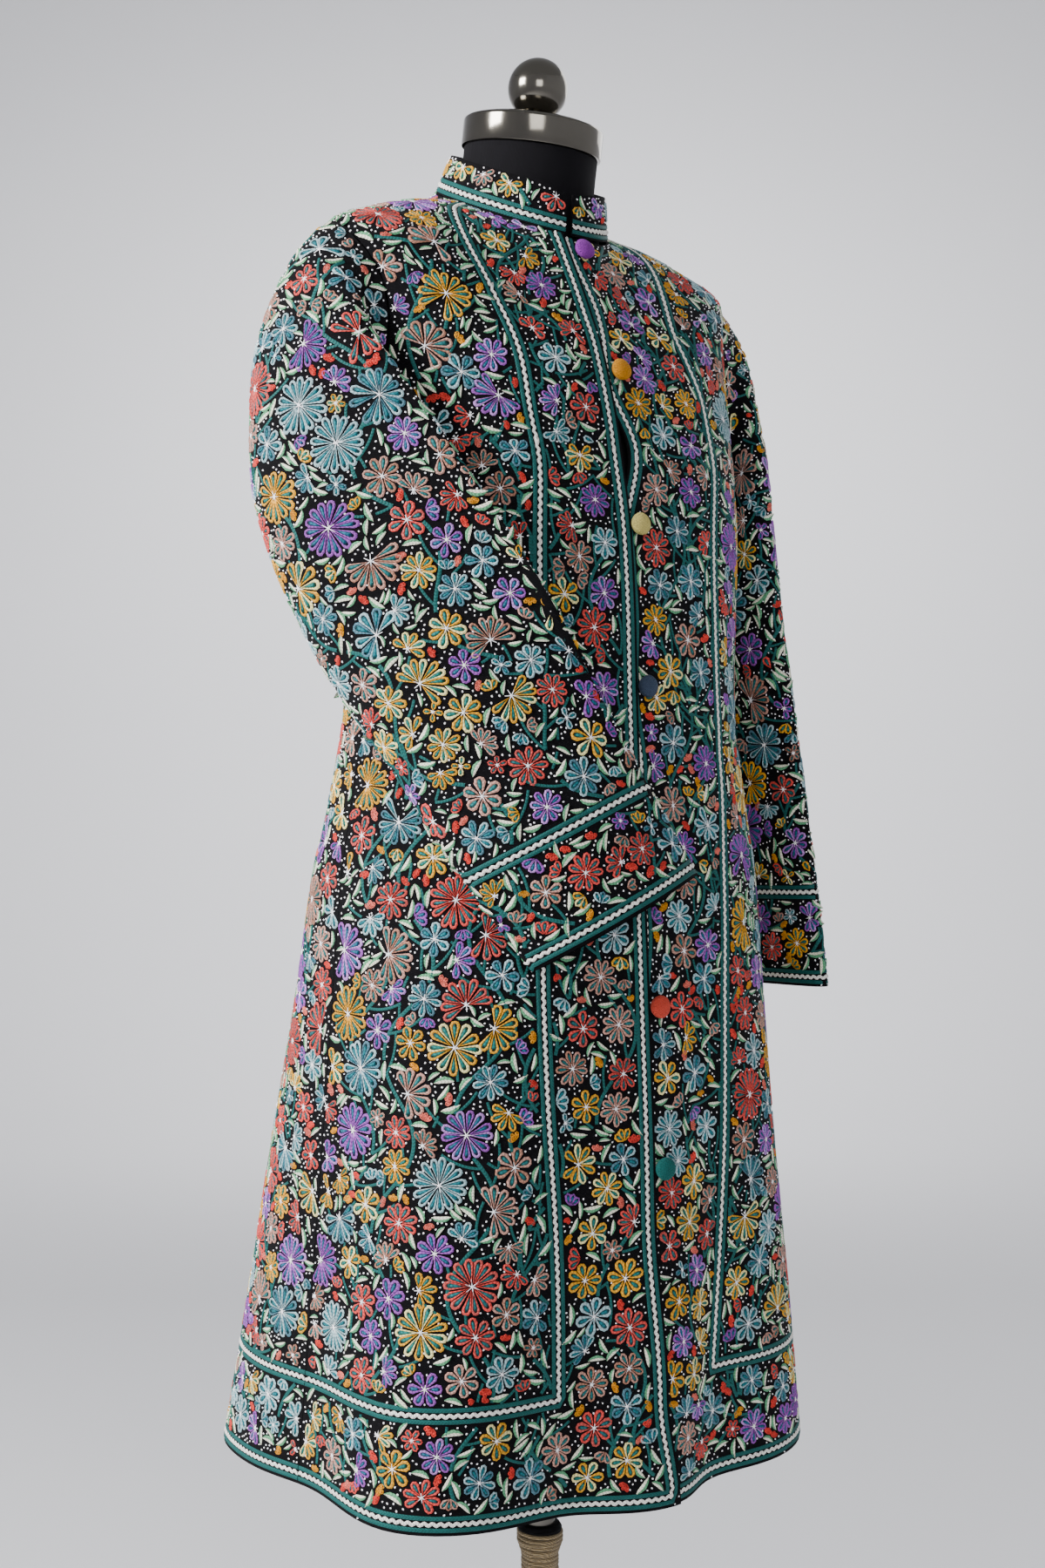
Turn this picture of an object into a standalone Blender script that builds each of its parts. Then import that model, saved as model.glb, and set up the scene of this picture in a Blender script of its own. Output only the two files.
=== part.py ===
"""A knee-length stand-collar jacket worn by a limbless dress form on a pole.

Metres, +Z up. The origin is on the floor, on the pole's axis. The jacket's front faces -Y, so the
wearer's right is at -X. Angles round the body run from the centre front (0) over the wearer's
right side (90) and the back (180) to the left side (270).
"""
import math
from collections import namedtuple

import bmesh
import bpy
import numpy as np

# Driving sizes of the cloth
WALL = 0.002
SEAM_GAP = 0.0005
LAP_GAP = 0.0008

# Driving sizes of the dress form and its stand
NECK_RADIUS = 0.0545
NECK_TOP_CENTRE = np.array([0.0, 0.0120, 1.4920])
NECK_TILT = math.radians(10.4)
NECK_STRAIGHT = 0.030
NECK_SPREAD = 0.0005
CAP_RADIUS = 0.0570
CAP_RIM = 0.0230
CAP_DOME = 0.0060
CAP_EDGE = 0.001
CAP_ROUND = 0.003
CAP_BOSS_RADIUS = 0.014
BALL_RADIUS = 0.0243
BALL_HEIGHT = 0.0510
BALL_NECK_RADIUS = 0.0125
BALL_FOOT_DEG = -59.0
FORM_BOTTOM = 0.800
SHOULDER_EASE = 0.0009
NECKLINE_EASE = 0.0060
FRONT_EASE = 0.0050
POLE_RADIUS = 0.0122
POLE_IN_WRAP = 0.010
WRAP_TOP = 0.386
WRAP_BOTTOM = 0.290
WRAP_RIM_RADIUS = 0.0190
WRAP_RADIUS = 0.0155
TUBE_RADIUS = 0.0140
HUB_HEIGHT = 0.048
BASE_RADIUS = 0.200
BASE_THICKNESS = 0.012
TOUCH = 0.0003

# Outline of the twine's wrap as (radius, how far below its top), from the hole for the pole
WRAP_OUTLINE = (
    (POLE_RADIUS + TOUCH, 0.003),
    (WRAP_RIM_RADIUS - 0.003, 0.0),
    (WRAP_RIM_RADIUS, 0.006),
    (WRAP_RIM_RADIUS, 0.014),
    (WRAP_RADIUS, 0.022),
)
# Outline of the base plate and its hub as (radius, height)
BASE_OUTLINE = (
    (BASE_RADIUS - 0.002, 0.0),
    (BASE_RADIUS, 0.002),
    (BASE_RADIUS, BASE_THICKNESS - 0.003),
    (BASE_RADIUS - 0.004, BASE_THICKNESS),
    (0.034, BASE_THICKNESS + 0.004),
    (0.022, 0.024),
    (0.020, HUB_HEIGHT),
)

# Buttons. The dome's outline is given as shares of the radius and of the height.
BUTTON_RADIUS = 0.0090
BUTTON_HEIGHT = 0.0085
BUTTON_LIFT = 0.0006
BUTTON_DOME = ((0.80, 0.0), (1.0, 0.28), (0.95, 0.55), (0.68, 0.86), (0.0, 1.0))
SHANK_RADIUS = 0.0016
BUTTON_HEIGHTS = (1.398, 1.296, 1.176, 1.053, 0.933, 0.813, 0.693)

# Horizontal sections of the jacket's outer face. A section's front, side and back may lie at
# different heights, which carries the rows over the shoulders to the neckline.
Section = namedtuple(
    "Section", "z_front z_side z_back half_width front back side_y square ridge lean"
)
SECTIONS = (
    Section(0.440, 0.453, 0.446, 0.2180, 0.157, 0.220, 0.031, 3.00, 2.0, 1.0),
    Section(0.571, 0.571, 0.571, 0.2090, 0.154, 0.202, 0.024, 2.80, 4.0, 1.0),
    Section(0.696, 0.696, 0.696, 0.1985, 0.150, 0.187, 0.019, 2.60, 8.0, 1.0),
    Section(0.813, 0.813, 0.813, 0.1935, 0.143, 0.160, 0.008, 2.40, 8.0, 1.0),
    Section(0.910, 0.910, 0.910, 0.1880, 0.137, 0.139, 0.001, 2.30, 8.0, 1.0),
    Section(0.960, 0.960, 0.960, 0.1800, 0.133, 0.124, 0.000, 2.25, 8.0, 1.0),
    Section(1.040, 1.040, 1.040, 0.1680, 0.129, 0.107, 0.000, 2.25, 8.0, 1.0),
    Section(1.110, 1.110, 1.110, 0.1675, 0.126, 0.108, 0.000, 2.35, 8.0, 1.0),
    Section(1.176, 1.176, 1.176, 0.1715, 0.120, 0.115, 0.000, 2.45, 8.0, 1.0),
    Section(1.232, 1.232, 1.232, 0.1745, 0.112, 0.121, 0.000, 2.40, 8.0, 1.0),
    Section(1.280, 1.300, 1.290, 0.1780, 0.102, 0.124, 0.003, 2.25, 8.0, 1.0),
    Section(1.316, 1.360, 1.345, 0.1850, 0.091, 0.120, 0.006, 2.05, 8.0, 1.0),
    Section(1.339, 1.400, 1.384, 0.1920, 0.081, 0.112, 0.008, 1.80, 7.0, 1.0),
    Section(1.364, 1.418, 1.414, 0.1590, 0.070, 0.105, 0.012, 1.75, 6.0, 0.9),
    Section(1.387, 1.433, 1.440, 0.1190, 0.0590, 0.099, 0.017, 1.80, 4.0, 0.75),
    Section(1.403, 1.440, 1.461, 0.0880, 0.0510, 0.0955, 0.021, 1.95, 2.6, 0.6),
    Section(1.412, 1.445, 1.477, 0.0700, 0.0460, 0.0940, 0.024, 2.00, 2.0, 0.5),
)
UNDERARM_ROW = 9.0
SHOULDER_ROW = 12.0
NECK_ROW = 16.0
BUST_ROW = 8.0
ARMHOLE_FRONT_DEG = 13.5
ARMHOLE_BACK_DEG = 14.0
ARMHOLE_ROUND = 0.70
FRONT_RADIUS = 0.12

# How far the dress form lies inside the jacket's outer face, at rows of SECTIONS
FORM_CLEARANCE = (
    (0.0, 0.016),
    (4.0, 0.016),
    (6.0, 0.012),
    (BUST_ROW, 0.0075),
    (UNDERARM_ROW, 0.0060),
    (SHOULDER_ROW - 1, 0.0060),
    (SHOULDER_ROW, WALL + SHOULDER_EASE),
    (NECK_ROW - 1.2, WALL + SHOULDER_EASE),
    (NECK_ROW, WALL + NECKLINE_EASE),
)

# Soft flutes of the skirt: where each lies, its half width, how far it stands out at the hem
# (inwards is negative) and the height at which it dies out.
Flute = namedtuple("Flute", "angle half_width depth top")
FLUTES = (
    Flute(27.0, 19.0, -0.034, 0.930),
    Flute(61.0, 9.0, 0.004, 1.000),
    Flute(84.0, 15.0, -0.013, 0.960),
    Flute(128.0, 12.0, 0.008, 0.900),
    Flute(152.0, 13.0, -0.016, 0.880),
    Flute(180.0, 12.0, 0.010, 0.900),
    Flute(207.0, 13.0, -0.018, 0.860),
    Flute(240.0, 13.0, 0.010, 0.900),
    Flute(272.0, 15.0, -0.014, 0.930),
    Flute(306.0, 11.0, 0.003, 0.960),
    Flute(336.0, 13.0, -0.026, 0.900),
)
FLUTE_POWER = 1.35

# How far each front edge lies from the centre front, as x at given heights.
RIGHT_EDGE = ((0.44, 0.0160), (0.52, 0.0040), (0.66, -0.0060), (1.05, -0.0070),
              (1.17, -0.0060), (1.24, -0.0085), (1.30, -0.0100), (1.42, -0.0120))
LEFT_EDGE = ((0.44, -0.0190), (0.81, -0.0190), (0.87, -0.0130), (0.93, -0.0170),
             (0.99, -0.0110), (1.05, -0.0180), (1.11, -0.0150), (1.17, -0.0160),
             (1.235, 0.0010), (1.29, -0.0170), (1.345, -0.0100), (1.40, -0.0170),
             (1.42, -0.0150))
UNDERLAP_BLEND = (0.034, 0.075)

# Stand collar
COLLAR_TOP_RADIUS = 0.0625
COLLAR_TOP_CENTRE_Y = 0.0155
COLLAR_TOP_MEAN_Z = 1.476
COLLAR_TOP_TILT = 0.028
COLLAR_FRONT_X = (-0.0100, -0.0040)
COLLAR_FRONT_DROP = 0.004
COLLAR_CORNER_COLUMNS = 1.2

# Guide points of each sleeve, section by section from the armhole to the cuff: the outer line,
# the front edge, the inner line and the back edge.
SleeveSection = namedtuple("SleeveSection", "outer front inner back")
RIGHT_SLEEVE = (
    SleeveSection((-.2090, .0080, 1.396), (-.1860, -.0430, 1.307),
                  (-.1800, .0030, 1.230), (-.1870, .0530, 1.315)),
    SleeveSection((-.2210, .0060, 1.374), (-.1840, -.0520, 1.290),
                  (-.1810, .0010, 1.217), (-.2000, .0700, 1.300)),
    SleeveSection((-.2310, .0040, 1.333), (-.1750, -.0680, 1.264),
                  (-.1830, -.0050, 1.198), (-.2080, .0760, 1.268)),
    SleeveSection((-.2360, -.0030, 1.283), (-.1570, -.0910, 1.228),
                  (-.1840, -.0160, 1.172), (-.2140, .0690, 1.223)),
    SleeveSection((-.2350, -.0120, 1.224), (-.1400, -.1100, 1.190),
                  (-.1810, -.0330, 1.140), (-.2170, .0540, 1.166)),
    SleeveSection((-.2250, -.0300, 1.164), (-.1200, -.1240, 1.154),
                  (-.1740, -.0520, 1.104), (-.2090, .0250, 1.106)),
    SleeveSection((-.2020, -.0600, 1.105), (-.0920, -.1370, 1.105),
                  (-.1580, -.0790, 1.063), (-.1930, -.0050, 1.047)),
    SleeveSection((-.1660, -.1030, 1.038), (-.0600, -.1480, 1.043),
                  (-.1340, -.1040, 1.012), (-.1750, -.0510, 0.987)),
    SleeveSection((-.1000, -.1520, 0.947), (-.0200, -.1570, 0.976),
                  (-.0900, -.1390, 0.940), (-.1520, -.1070, 0.909)),
    SleeveSection((-.0490, -.1710, 0.883), (0.0255, -.1590, 0.912),
                  (-.0430, -.1500, 0.876), (-.1110, -.1330, 0.844)),
)
LEFT_SLEEVE = (
    SleeveSection((.2080, .0080, 1.396), (.1870, -.0440, 1.306),
                  (.1800, .0030, 1.230), (.1860, .0530, 1.315)),
    SleeveSection((.2170, .0080, 1.372), (.1880, -.0550, 1.288),
                  (.1810, .0030, 1.217), (.1950, .0680, 1.300)),
    SleeveSection((.2230, .0110, 1.322), (.1880, -.0620, 1.253),
                  (.1830, .0060, 1.194), (.2010, .0790, 1.262)),
    SleeveSection((.2270, .0130, 1.254), (.1930, -.0660, 1.205),
                  (.1860, .0090, 1.154), (.2050, .0850, 1.203)),
    SleeveSection((.2280, .0100, 1.166), (.1990, -.0700, 1.138),
                  (.1890, .0080, 1.102), (.2090, .0860, 1.132)),
    SleeveSection((.2310, .0020, 1.073), (.2070, -.0780, 1.056),
                  (.1950, .0010, 1.031), (.2150, .0790, 1.051)),
    SleeveSection((.2370, -.0080, 0.982), (.2140, -.0870, 0.970),
                  (.2050, -.0080, 0.955), (.2220, .0700, 0.970)),
    SleeveSection((.2430, -.0180, 0.895), (.2210, -.0950, 0.890),
                  (.2140, -.0170, 0.885), (.2300, .0620, 0.890)),
    SleeveSection((.2480, -.0260, 0.813), (.2270, -.1010, 0.812),
                  (.2210, -.0250, 0.810), (.2370, .0540, 0.808)),
)

# Where a sleeve starts off the armhole's edge, as shares of SLEEVE_START into the hole and out
# of the body, and the guide sections over which it takes their shape
SLEEVE_START = 0.0005
SLEEVE_IN = 0.6
SLEEVE_OUT = 0.8
SLEEVE_HEAD_BLEND = (-0.8, 2.4)

# How finely the solids are cut
BODY_ROWS = 15
ARMHOLE_ROWS = 10
SHOULDER_ROWS = 5
FRONT_COLUMNS = 14
BACK_COLUMNS = 20
SLEEVE_RINGS = 16
COLLAR_COLUMNS = 28
COLLAR_ROWS = 3
FORM_SIDES = 40
FORM_RINGS = 7
ROUND_SIDES = 24
BUTTON_SIDES = 12
CAP_SIDES = 32
BALL_STEPS = 9
POLE_SIDES = 16
WRAP_SIDES = 20
BASE_SIDES = 40
SHARP_ANGLE = math.radians(40)
NORMAL_STEP_DEG = 1.0
NORMAL_STEP_ROWS = 0.08
EDGE_STEPS = 6
HALVINGS = 40

MATERIALS = {
    "embroidered_wool": ((0.10, 0.16, 0.16, 1.0), 0.85, 0.0),
    "thread_violet": ((0.26, 0.06, 0.32, 1.0), 0.6, 0.0),
    "thread_amber": ((0.62, 0.27, 0.03, 1.0), 0.6, 0.0),
    "thread_cream": ((0.60, 0.50, 0.22, 1.0), 0.6, 0.0),
    "thread_slate": ((0.11, 0.14, 0.19, 1.0), 0.6, 0.0),
    "thread_rose": ((0.45, 0.10, 0.20, 1.0), 0.6, 0.0),
    "thread_coral": ((0.60, 0.13, 0.09, 1.0), 0.6, 0.0),
    "thread_teal": ((0.01, 0.14, 0.13, 1.0), 0.6, 0.0),
    "black_jersey": ((0.010, 0.010, 0.012, 1.0), 0.9, 0.0),
    "polished_steel": ((0.55, 0.54, 0.51, 1.0), 0.18, 1.0),
    "brushed_steel": ((0.30, 0.29, 0.28, 1.0), 0.35, 1.0),
    "jute_twine": ((0.30, 0.24, 0.15, 1.0), 0.9, 0.0),
    "black_enamel": ((0.015, 0.015, 0.016, 1.0), 0.4, 0.0),
}
BUTTON_THREADS = ("thread_violet", "thread_amber", "thread_cream", "thread_slate",
                  "thread_rose", "thread_coral", "thread_teal")


def spline(rows, at):
    """The row at a fractional place in a table, on a smooth curve through its rows."""
    rows = np.asarray(rows, float)
    last = len(rows) - 1
    at = min(max(at, 0.0), float(last))
    i = min(int(at), last - 1)
    t = at - i
    p1, p2 = rows[i], rows[i + 1]
    p0 = rows[i - 1] if i > 0 else 2 * p1 - p2
    p3 = rows[i + 2] if i + 2 <= last else 2 * p2 - p1
    m1, m2 = (p2 - p0) / 2, (p3 - p1) / 2
    return ((2 * t**3 - 3 * t**2 + 1) * p1 + (t**3 - 2 * t**2 + t) * m1
            + (3 * t**2 - 2 * t**3) * p2 + (t**3 - t**2) * m2)


def smooth_step(value, low, high):
    t = min(max((value - low) / (high - low), 0.0), 1.0)
    return t * t * (3 - 2 * t)


def height_lookup(table, z):
    """A value given at several heights, eased between them."""
    for (z0, a), (z1, b) in zip(table, table[1:]):
        if z <= z1:
            return a + (b - a) * smooth_step(z, z0, z1)
    return table[-1][1]


def flute_depth(angle, z):
    """How far the skirt's flutes move the cloth out at this angle and height."""
    out = 0.0
    hem = SECTIONS[0].z_front
    for flute in FLUTES:
        away = (angle - flute.angle + 180.0) % 360.0 - 180.0
        grow = min(max((flute.top - z) / (flute.top - hem), 0.0), 1.0) ** FLUTE_POWER
        out += flute.depth * grow * math.exp(-((away / flute.half_width) ** 2))
    return out


def body_point(angle, row, fluted=True):
    """A point of the jacket's outer face, at an angle round the body and a row of SECTIONS."""
    section = Section(*spline(SECTIONS, row))
    turn = math.radians(angle)
    across, along = math.sin(turn), math.cos(turn)
    if along > 0:
        depth, z_end = section.front + section.side_y, section.z_front
    else:
        depth, z_end = section.back - section.side_y, section.z_back
    radius = (abs(along / depth) ** section.square
              + abs(across / section.half_width) ** section.square) ** (-1 / section.square)
    over = max(1 - abs(across) ** section.ridge, 0.0) ** section.lean
    z = section.z_side + (z_end - section.z_side) * over
    if fluted:
        radius += flute_depth(angle, z)
    return np.array([-radius * across, section.side_y - radius * along, z])


def face_normal(point_at, u, v, du, dv):
    """Unit normal of a surface point_at(u, v), from its neighbours."""
    a = point_at(u + du, v) - point_at(u - du, v)
    b = point_at(u, min(v + dv, NECK_ROW)) - point_at(u, max(v - dv, 0.0))
    n = np.cross(b, a)
    return n / np.linalg.norm(n)


def body_normal(angle, row, fluted=True):
    return face_normal(lambda u, v: body_point(u, v, fluted), angle, row,
                       NORMAL_STEP_DEG, NORMAL_STEP_ROWS)


def angle_at_x(x, row):
    """The angle near the centre front at which the body's outer face has this x."""
    angle = 0.0
    for _ in range(EDGE_STEPS):
        angle -= math.degrees((x - body_point(angle, row)[0]) / FRONT_RADIUS)
    return angle


def armhole_angle(row, reach):
    """How many degrees the armhole cuts in from the side seam at this row."""
    share = (row - UNDERARM_ROW) / (SHOULDER_ROW - UNDERARM_ROW)
    if not 0.0 < share < 1.0:
        return 0.0
    return reach * math.sin(math.pi * share) ** ARMHOLE_ROUND


def panel_rows():
    """The rows at which the panels are cut, from hem to neckline."""
    below = [UNDERARM_ROW * i / BODY_ROWS for i in range(BODY_ROWS)]
    span = SHOULDER_ROW - UNDERARM_ROW
    armhole = [UNDERARM_ROW + span * (1 - math.cos(math.pi * i / ARMHOLE_ROWS)) / 2
               for i in range(ARMHOLE_ROWS)]
    over = [SHOULDER_ROW + (NECK_ROW - SHOULDER_ROW) * i / SHOULDER_ROWS
            for i in range(SHOULDER_ROWS + 1)]
    return below + armhole + over


def seam_half_gap(row):
    """Half a seam's gap as an angle round the body."""
    return math.degrees(SEAM_GAP / 2 / Section(*spline(SECTIONS, row)).half_width)


def new_object(name, mesh, material):
    obj = bpy.data.objects.new(name, mesh)
    bpy.context.scene.collection.objects.link(obj)
    mesh.materials.append(bpy.data.materials[material])
    mesh.shade_smooth()
    mesh.set_sharp_from_angle(angle=SHARP_ANGLE)
    return obj


def wall_mesh(name, outer, inner, ring=False):
    """A closed wall between two grids of points. Its rows run along the first index, and with
    ring set each row closes on itself."""
    rows, columns = len(outer), len(outer[0])
    mesh = bmesh.new()
    outside = [[mesh.verts.new(p) for p in row] for row in outer]
    inside = [[mesh.verts.new(p) for p in row] for row in inner]
    turns = columns if ring else columns - 1
    for i in range(rows - 1):
        for j in range(turns):
            k = (j + 1) % columns
            mesh.faces.new((outside[i][j], outside[i][k], outside[i + 1][k], outside[i + 1][j]))
            mesh.faces.new((inside[i][j], inside[i + 1][j], inside[i + 1][k], inside[i][k]))
    for i in (0, rows - 1):
        for j in range(turns):
            k = (j + 1) % columns
            mesh.faces.new((outside[i][j], inside[i][j], inside[i][k], outside[i][k]))
    if not ring:
        for j in (0, columns - 1):
            for i in range(rows - 1):
                mesh.faces.new((outside[i][j], outside[i + 1][j], inside[i + 1][j], inside[i][j]))
    bmesh.ops.triangulate(mesh, faces=mesh.faces[:])
    bmesh.ops.recalc_face_normals(mesh, faces=mesh.faces[:])
    data = bpy.data.meshes.new(name)
    mesh.to_mesh(data)
    mesh.free()
    return data


def panel(name, start_angle, end_angle, columns, sink=lambda angle, row: 0.0):
    """One panel of the body, between two angles that depend on the row. sink gives how far the
    cloth is pushed in from the body's outer face."""
    outer, inner = [], []
    for row in panel_rows():
        a, b = start_angle(row), end_angle(row)
        outer_row, inner_row = [], []
        for j in range(columns + 1):
            angle = a + (b - a) * j / columns
            normal = body_normal(angle, row)
            point = body_point(angle, row) - sink(angle, row) * normal
            outer_row.append(point)
            inner_row.append(point - WALL * normal)
        outer.append(outer_row)
        inner.append(inner_row)
    return new_object(name, wall_mesh(name, outer, inner), "embroidered_wool")


def fronts_and_back():
    def right_edge(row):
        return angle_at_x(height_lookup(RIGHT_EDGE, body_point(0, row)[2]), row)

    def left_edge(row):
        return angle_at_x(height_lookup(LEFT_EDGE, body_point(0, row)[2]), row)

    def right_side(row):
        return 90 - seam_half_gap(row) - armhole_angle(row, ARMHOLE_FRONT_DEG)

    def left_side(row):
        return -90 + seam_half_gap(row) + armhole_angle(row, ARMHOLE_FRONT_DEG)

    def back_right(row):
        return 90 + seam_half_gap(row) + armhole_angle(row, ARMHOLE_BACK_DEG)

    def back_left(row):
        return 270 - seam_half_gap(row) - armhole_angle(row, ARMHOLE_BACK_DEG)

    def underlap(angle, row):
        x = body_point(angle, row)[0]
        return (WALL + LAP_GAP) * (1 - smooth_step(x, *UNDERLAP_BLEND))

    panel("front_right", right_edge, right_side, FRONT_COLUMNS)
    panel("front_left", left_edge, left_side, FRONT_COLUMNS, sink=underlap)
    panel("back", back_right, back_left, BACK_COLUMNS)


def armhole_ring(side):
    """The armhole's edge from the shoulder point over the front, the underarm and the back, with
    the body's normal at each point. side is 1 for the wearer's right and -1 for the left."""
    rows = panel_rows()[BODY_ROWS:BODY_ROWS + ARMHOLE_ROWS + 1]
    front = [(90 - armhole_angle(row, ARMHOLE_FRONT_DEG), row) for row in reversed(rows)]
    back = [(90 + armhole_angle(row, ARMHOLE_BACK_DEG), row) for row in rows[1:-1]]
    return [(body_point(side * a, r), body_normal(side * a, r)) for a, r in front + back]


def sleeve_point(guides, at, turn):
    """A point of a sleeve's outer face: at runs over the guide sections, turn round them."""
    outer, front, inner, back = (spline([row[i] for row in guides], at) for i in range(4))
    centre = (outer + front + inner + back) / 4
    bow = (outer + inner - front - back) / 4
    return (centre + math.cos(turn) * (outer - inner) / 2
            + math.sin(turn) * (front - back) / 2 + math.cos(2 * turn) * bow)


def sleeve(name, side, guides):
    """A sleeve from its armhole to its cuff. Its head keeps the armhole's shape at first and then
    takes that of the guide sections."""
    ring = armhole_ring(side)
    columns = len(ring)
    turns = [2 * math.pi * j / columns for j in range(columns)]
    centre = sum(point for point, _ in ring) / columns
    first = []
    for j, (edge, normal) in enumerate(ring):
        tangent = ring[(j + 1) % columns][0] - ring[j - 1][0]
        into_hole = np.cross(tangent, normal)
        into_hole *= np.sign(into_hole @ (centre - edge)) / np.linalg.norm(into_hole)
        first.append(edge + SLEEVE_START * (into_hole * SLEEVE_IN + normal * SLEEVE_OUT))
    outer = [first]
    for i in range(SLEEVE_RINGS):
        at = (len(guides) - 1) * i / (SLEEVE_RINGS - 1)
        shaped = [sleeve_point(guides, at, turn) for turn in turns]
        shift = sum(shaped) / columns - centre
        share = smooth_step(at, *SLEEVE_HEAD_BLEND)
        outer.append([(edge + shift) * (1 - share) + point * share
                      for (edge, _), point in zip(ring, shaped)])
    normals = grid_normals(outer)
    inner = [[p - WALL * n for p, n in zip(row, line)] for row, line in zip(outer, normals)]
    return new_object(name, wall_mesh(name, outer, inner, ring=True), "embroidered_wool")


def grid_normals(grid):
    """Outward normals of a tube given as closed rings."""
    points = np.array(grid)
    around = np.roll(points, -1, axis=1) - np.roll(points, 1, axis=1)
    along = np.gradient(points, axis=0)
    normals = np.cross(around, along)
    normals /= np.linalg.norm(normals, axis=2, keepdims=True)
    outward = points - points.mean(axis=1, keepdims=True)
    if (normals * outward).sum() < 0:
        normals = -normals
    return normals


def collar():
    """The stand collar, from its right front edge round the back to its left one."""
    neck = Section(*spline(SECTIONS, NECK_ROW))
    start = math.degrees(math.asin(-COLLAR_FRONT_X[0] / neck.half_width))
    end = 360 + math.degrees(math.asin(-COLLAR_FRONT_X[1] / neck.half_width))
    outer, inner = [], []
    for i in range(COLLAR_ROWS + 1):
        up = i / COLLAR_ROWS
        outer_row, inner_row = [], []
        for j in range(COLLAR_COLUMNS + 1):
            angle = start + (end - start) * j / COLLAR_COLUMNS
            turn = math.radians(angle)
            away = np.array([-math.sin(turn), -math.cos(turn), 0.0])
            foot = body_point(angle, NECK_ROW) + np.array([0, 0, SEAM_GAP])
            near_front = math.exp(-((min(j, COLLAR_COLUMNS - j) / COLLAR_CORNER_COLUMNS) ** 2))
            top_z = COLLAR_TOP_MEAN_Z - COLLAR_TOP_TILT * math.cos(turn)
            top_z -= COLLAR_FRONT_DROP * near_front
            head = np.array([0, COLLAR_TOP_CENTRE_Y, top_z]) + COLLAR_TOP_RADIUS * away
            point = foot + (head - foot) * up
            outer_row.append(point)
            inner_row.append(point - WALL * away)
        outer.append(outer_row)
        inner.append(inner_row)
    return new_object("collar", wall_mesh("collar", outer, inner), "embroidered_wool")


def turned(name, profile, material, origin=(0, 0, 0), axis=(0, 0, 1), sides=ROUND_SIDES):
    """A solid turned from a profile of (radius, height) points that starts and ends on the axis."""
    mesh = bmesh.new()
    rings = []
    for radius, height in profile:
        if radius == 0:
            rings.append([mesh.verts.new((0, 0, height))])
        else:
            turns = [2 * math.pi * j / sides for j in range(sides)]
            rings.append([mesh.verts.new((radius * math.cos(t), radius * math.sin(t), height))
                          for t in turns])
    for low, high in zip(rings, rings[1:]):
        for j in range(sides):
            k = (j + 1) % sides
            corners = [low[j % len(low)], low[k % len(low)], high[k % len(high)], high[j % len(high)]]
            mesh.faces.new(list(dict.fromkeys(corners)))
    bmesh.ops.triangulate(mesh, faces=mesh.faces[:])
    bmesh.ops.recalc_face_normals(mesh, faces=mesh.faces[:])
    data = bpy.data.meshes.new(name)
    mesh.to_mesh(data)
    mesh.free()
    obj = new_object(name, data, material)
    obj.location = origin
    z_axis = np.array(axis, float) / np.linalg.norm(axis)
    tilt = math.acos(max(-1.0, min(1.0, z_axis[2])))
    obj.rotation_mode = "AXIS_ANGLE"
    hinge = (-z_axis[1], z_axis[0], 0.0) if tilt > 1e-6 else (1.0, 0.0, 0.0)
    obj.rotation_axis_angle = (tilt, *hinge)
    return obj


def button_profile():
    """A domed, thread-wound button on a short shank, from the shank's foot to the crown."""
    lift = WALL + LAP_GAP + BUTTON_LIFT
    shank = [(0, 0), (SHANK_RADIUS, 0), (SHANK_RADIUS, lift)]
    return shank + [(BUTTON_RADIUS * width, lift + BUTTON_HEIGHT * height)
                    for width, height in BUTTON_DOME]


def row_at_front_height(z):
    """The row of SECTIONS whose centre front lies at this height."""
    low, high = 0.0, NECK_ROW
    for _ in range(HALVINGS):
        middle = (low + high) / 2
        if body_point(0, middle)[2] < z:
            low = middle
        else:
            high = middle
    return low


def buttons():
    for number, (z, thread) in enumerate(zip(BUTTON_HEIGHTS, BUTTON_THREADS), 1):
        row = row_at_front_height(z)
        normal = body_normal(0, row)
        foot = body_point(0, row) - (WALL + LAP_GAP - TOUCH) * normal
        turned(f"button_{number}", button_profile(), thread, foot, normal, sides=BUTTON_SIDES)


def form_clearance(angle, row):
    """How far the dress form lies inside the jacket's outer face. The cloth rests on the back of
    its shoulders."""
    front_ease = FRONT_EASE * math.sqrt(max(math.cos(math.radians(angle)), 0.0))
    return height_lookup(FORM_CLEARANCE, row) + front_ease


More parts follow.
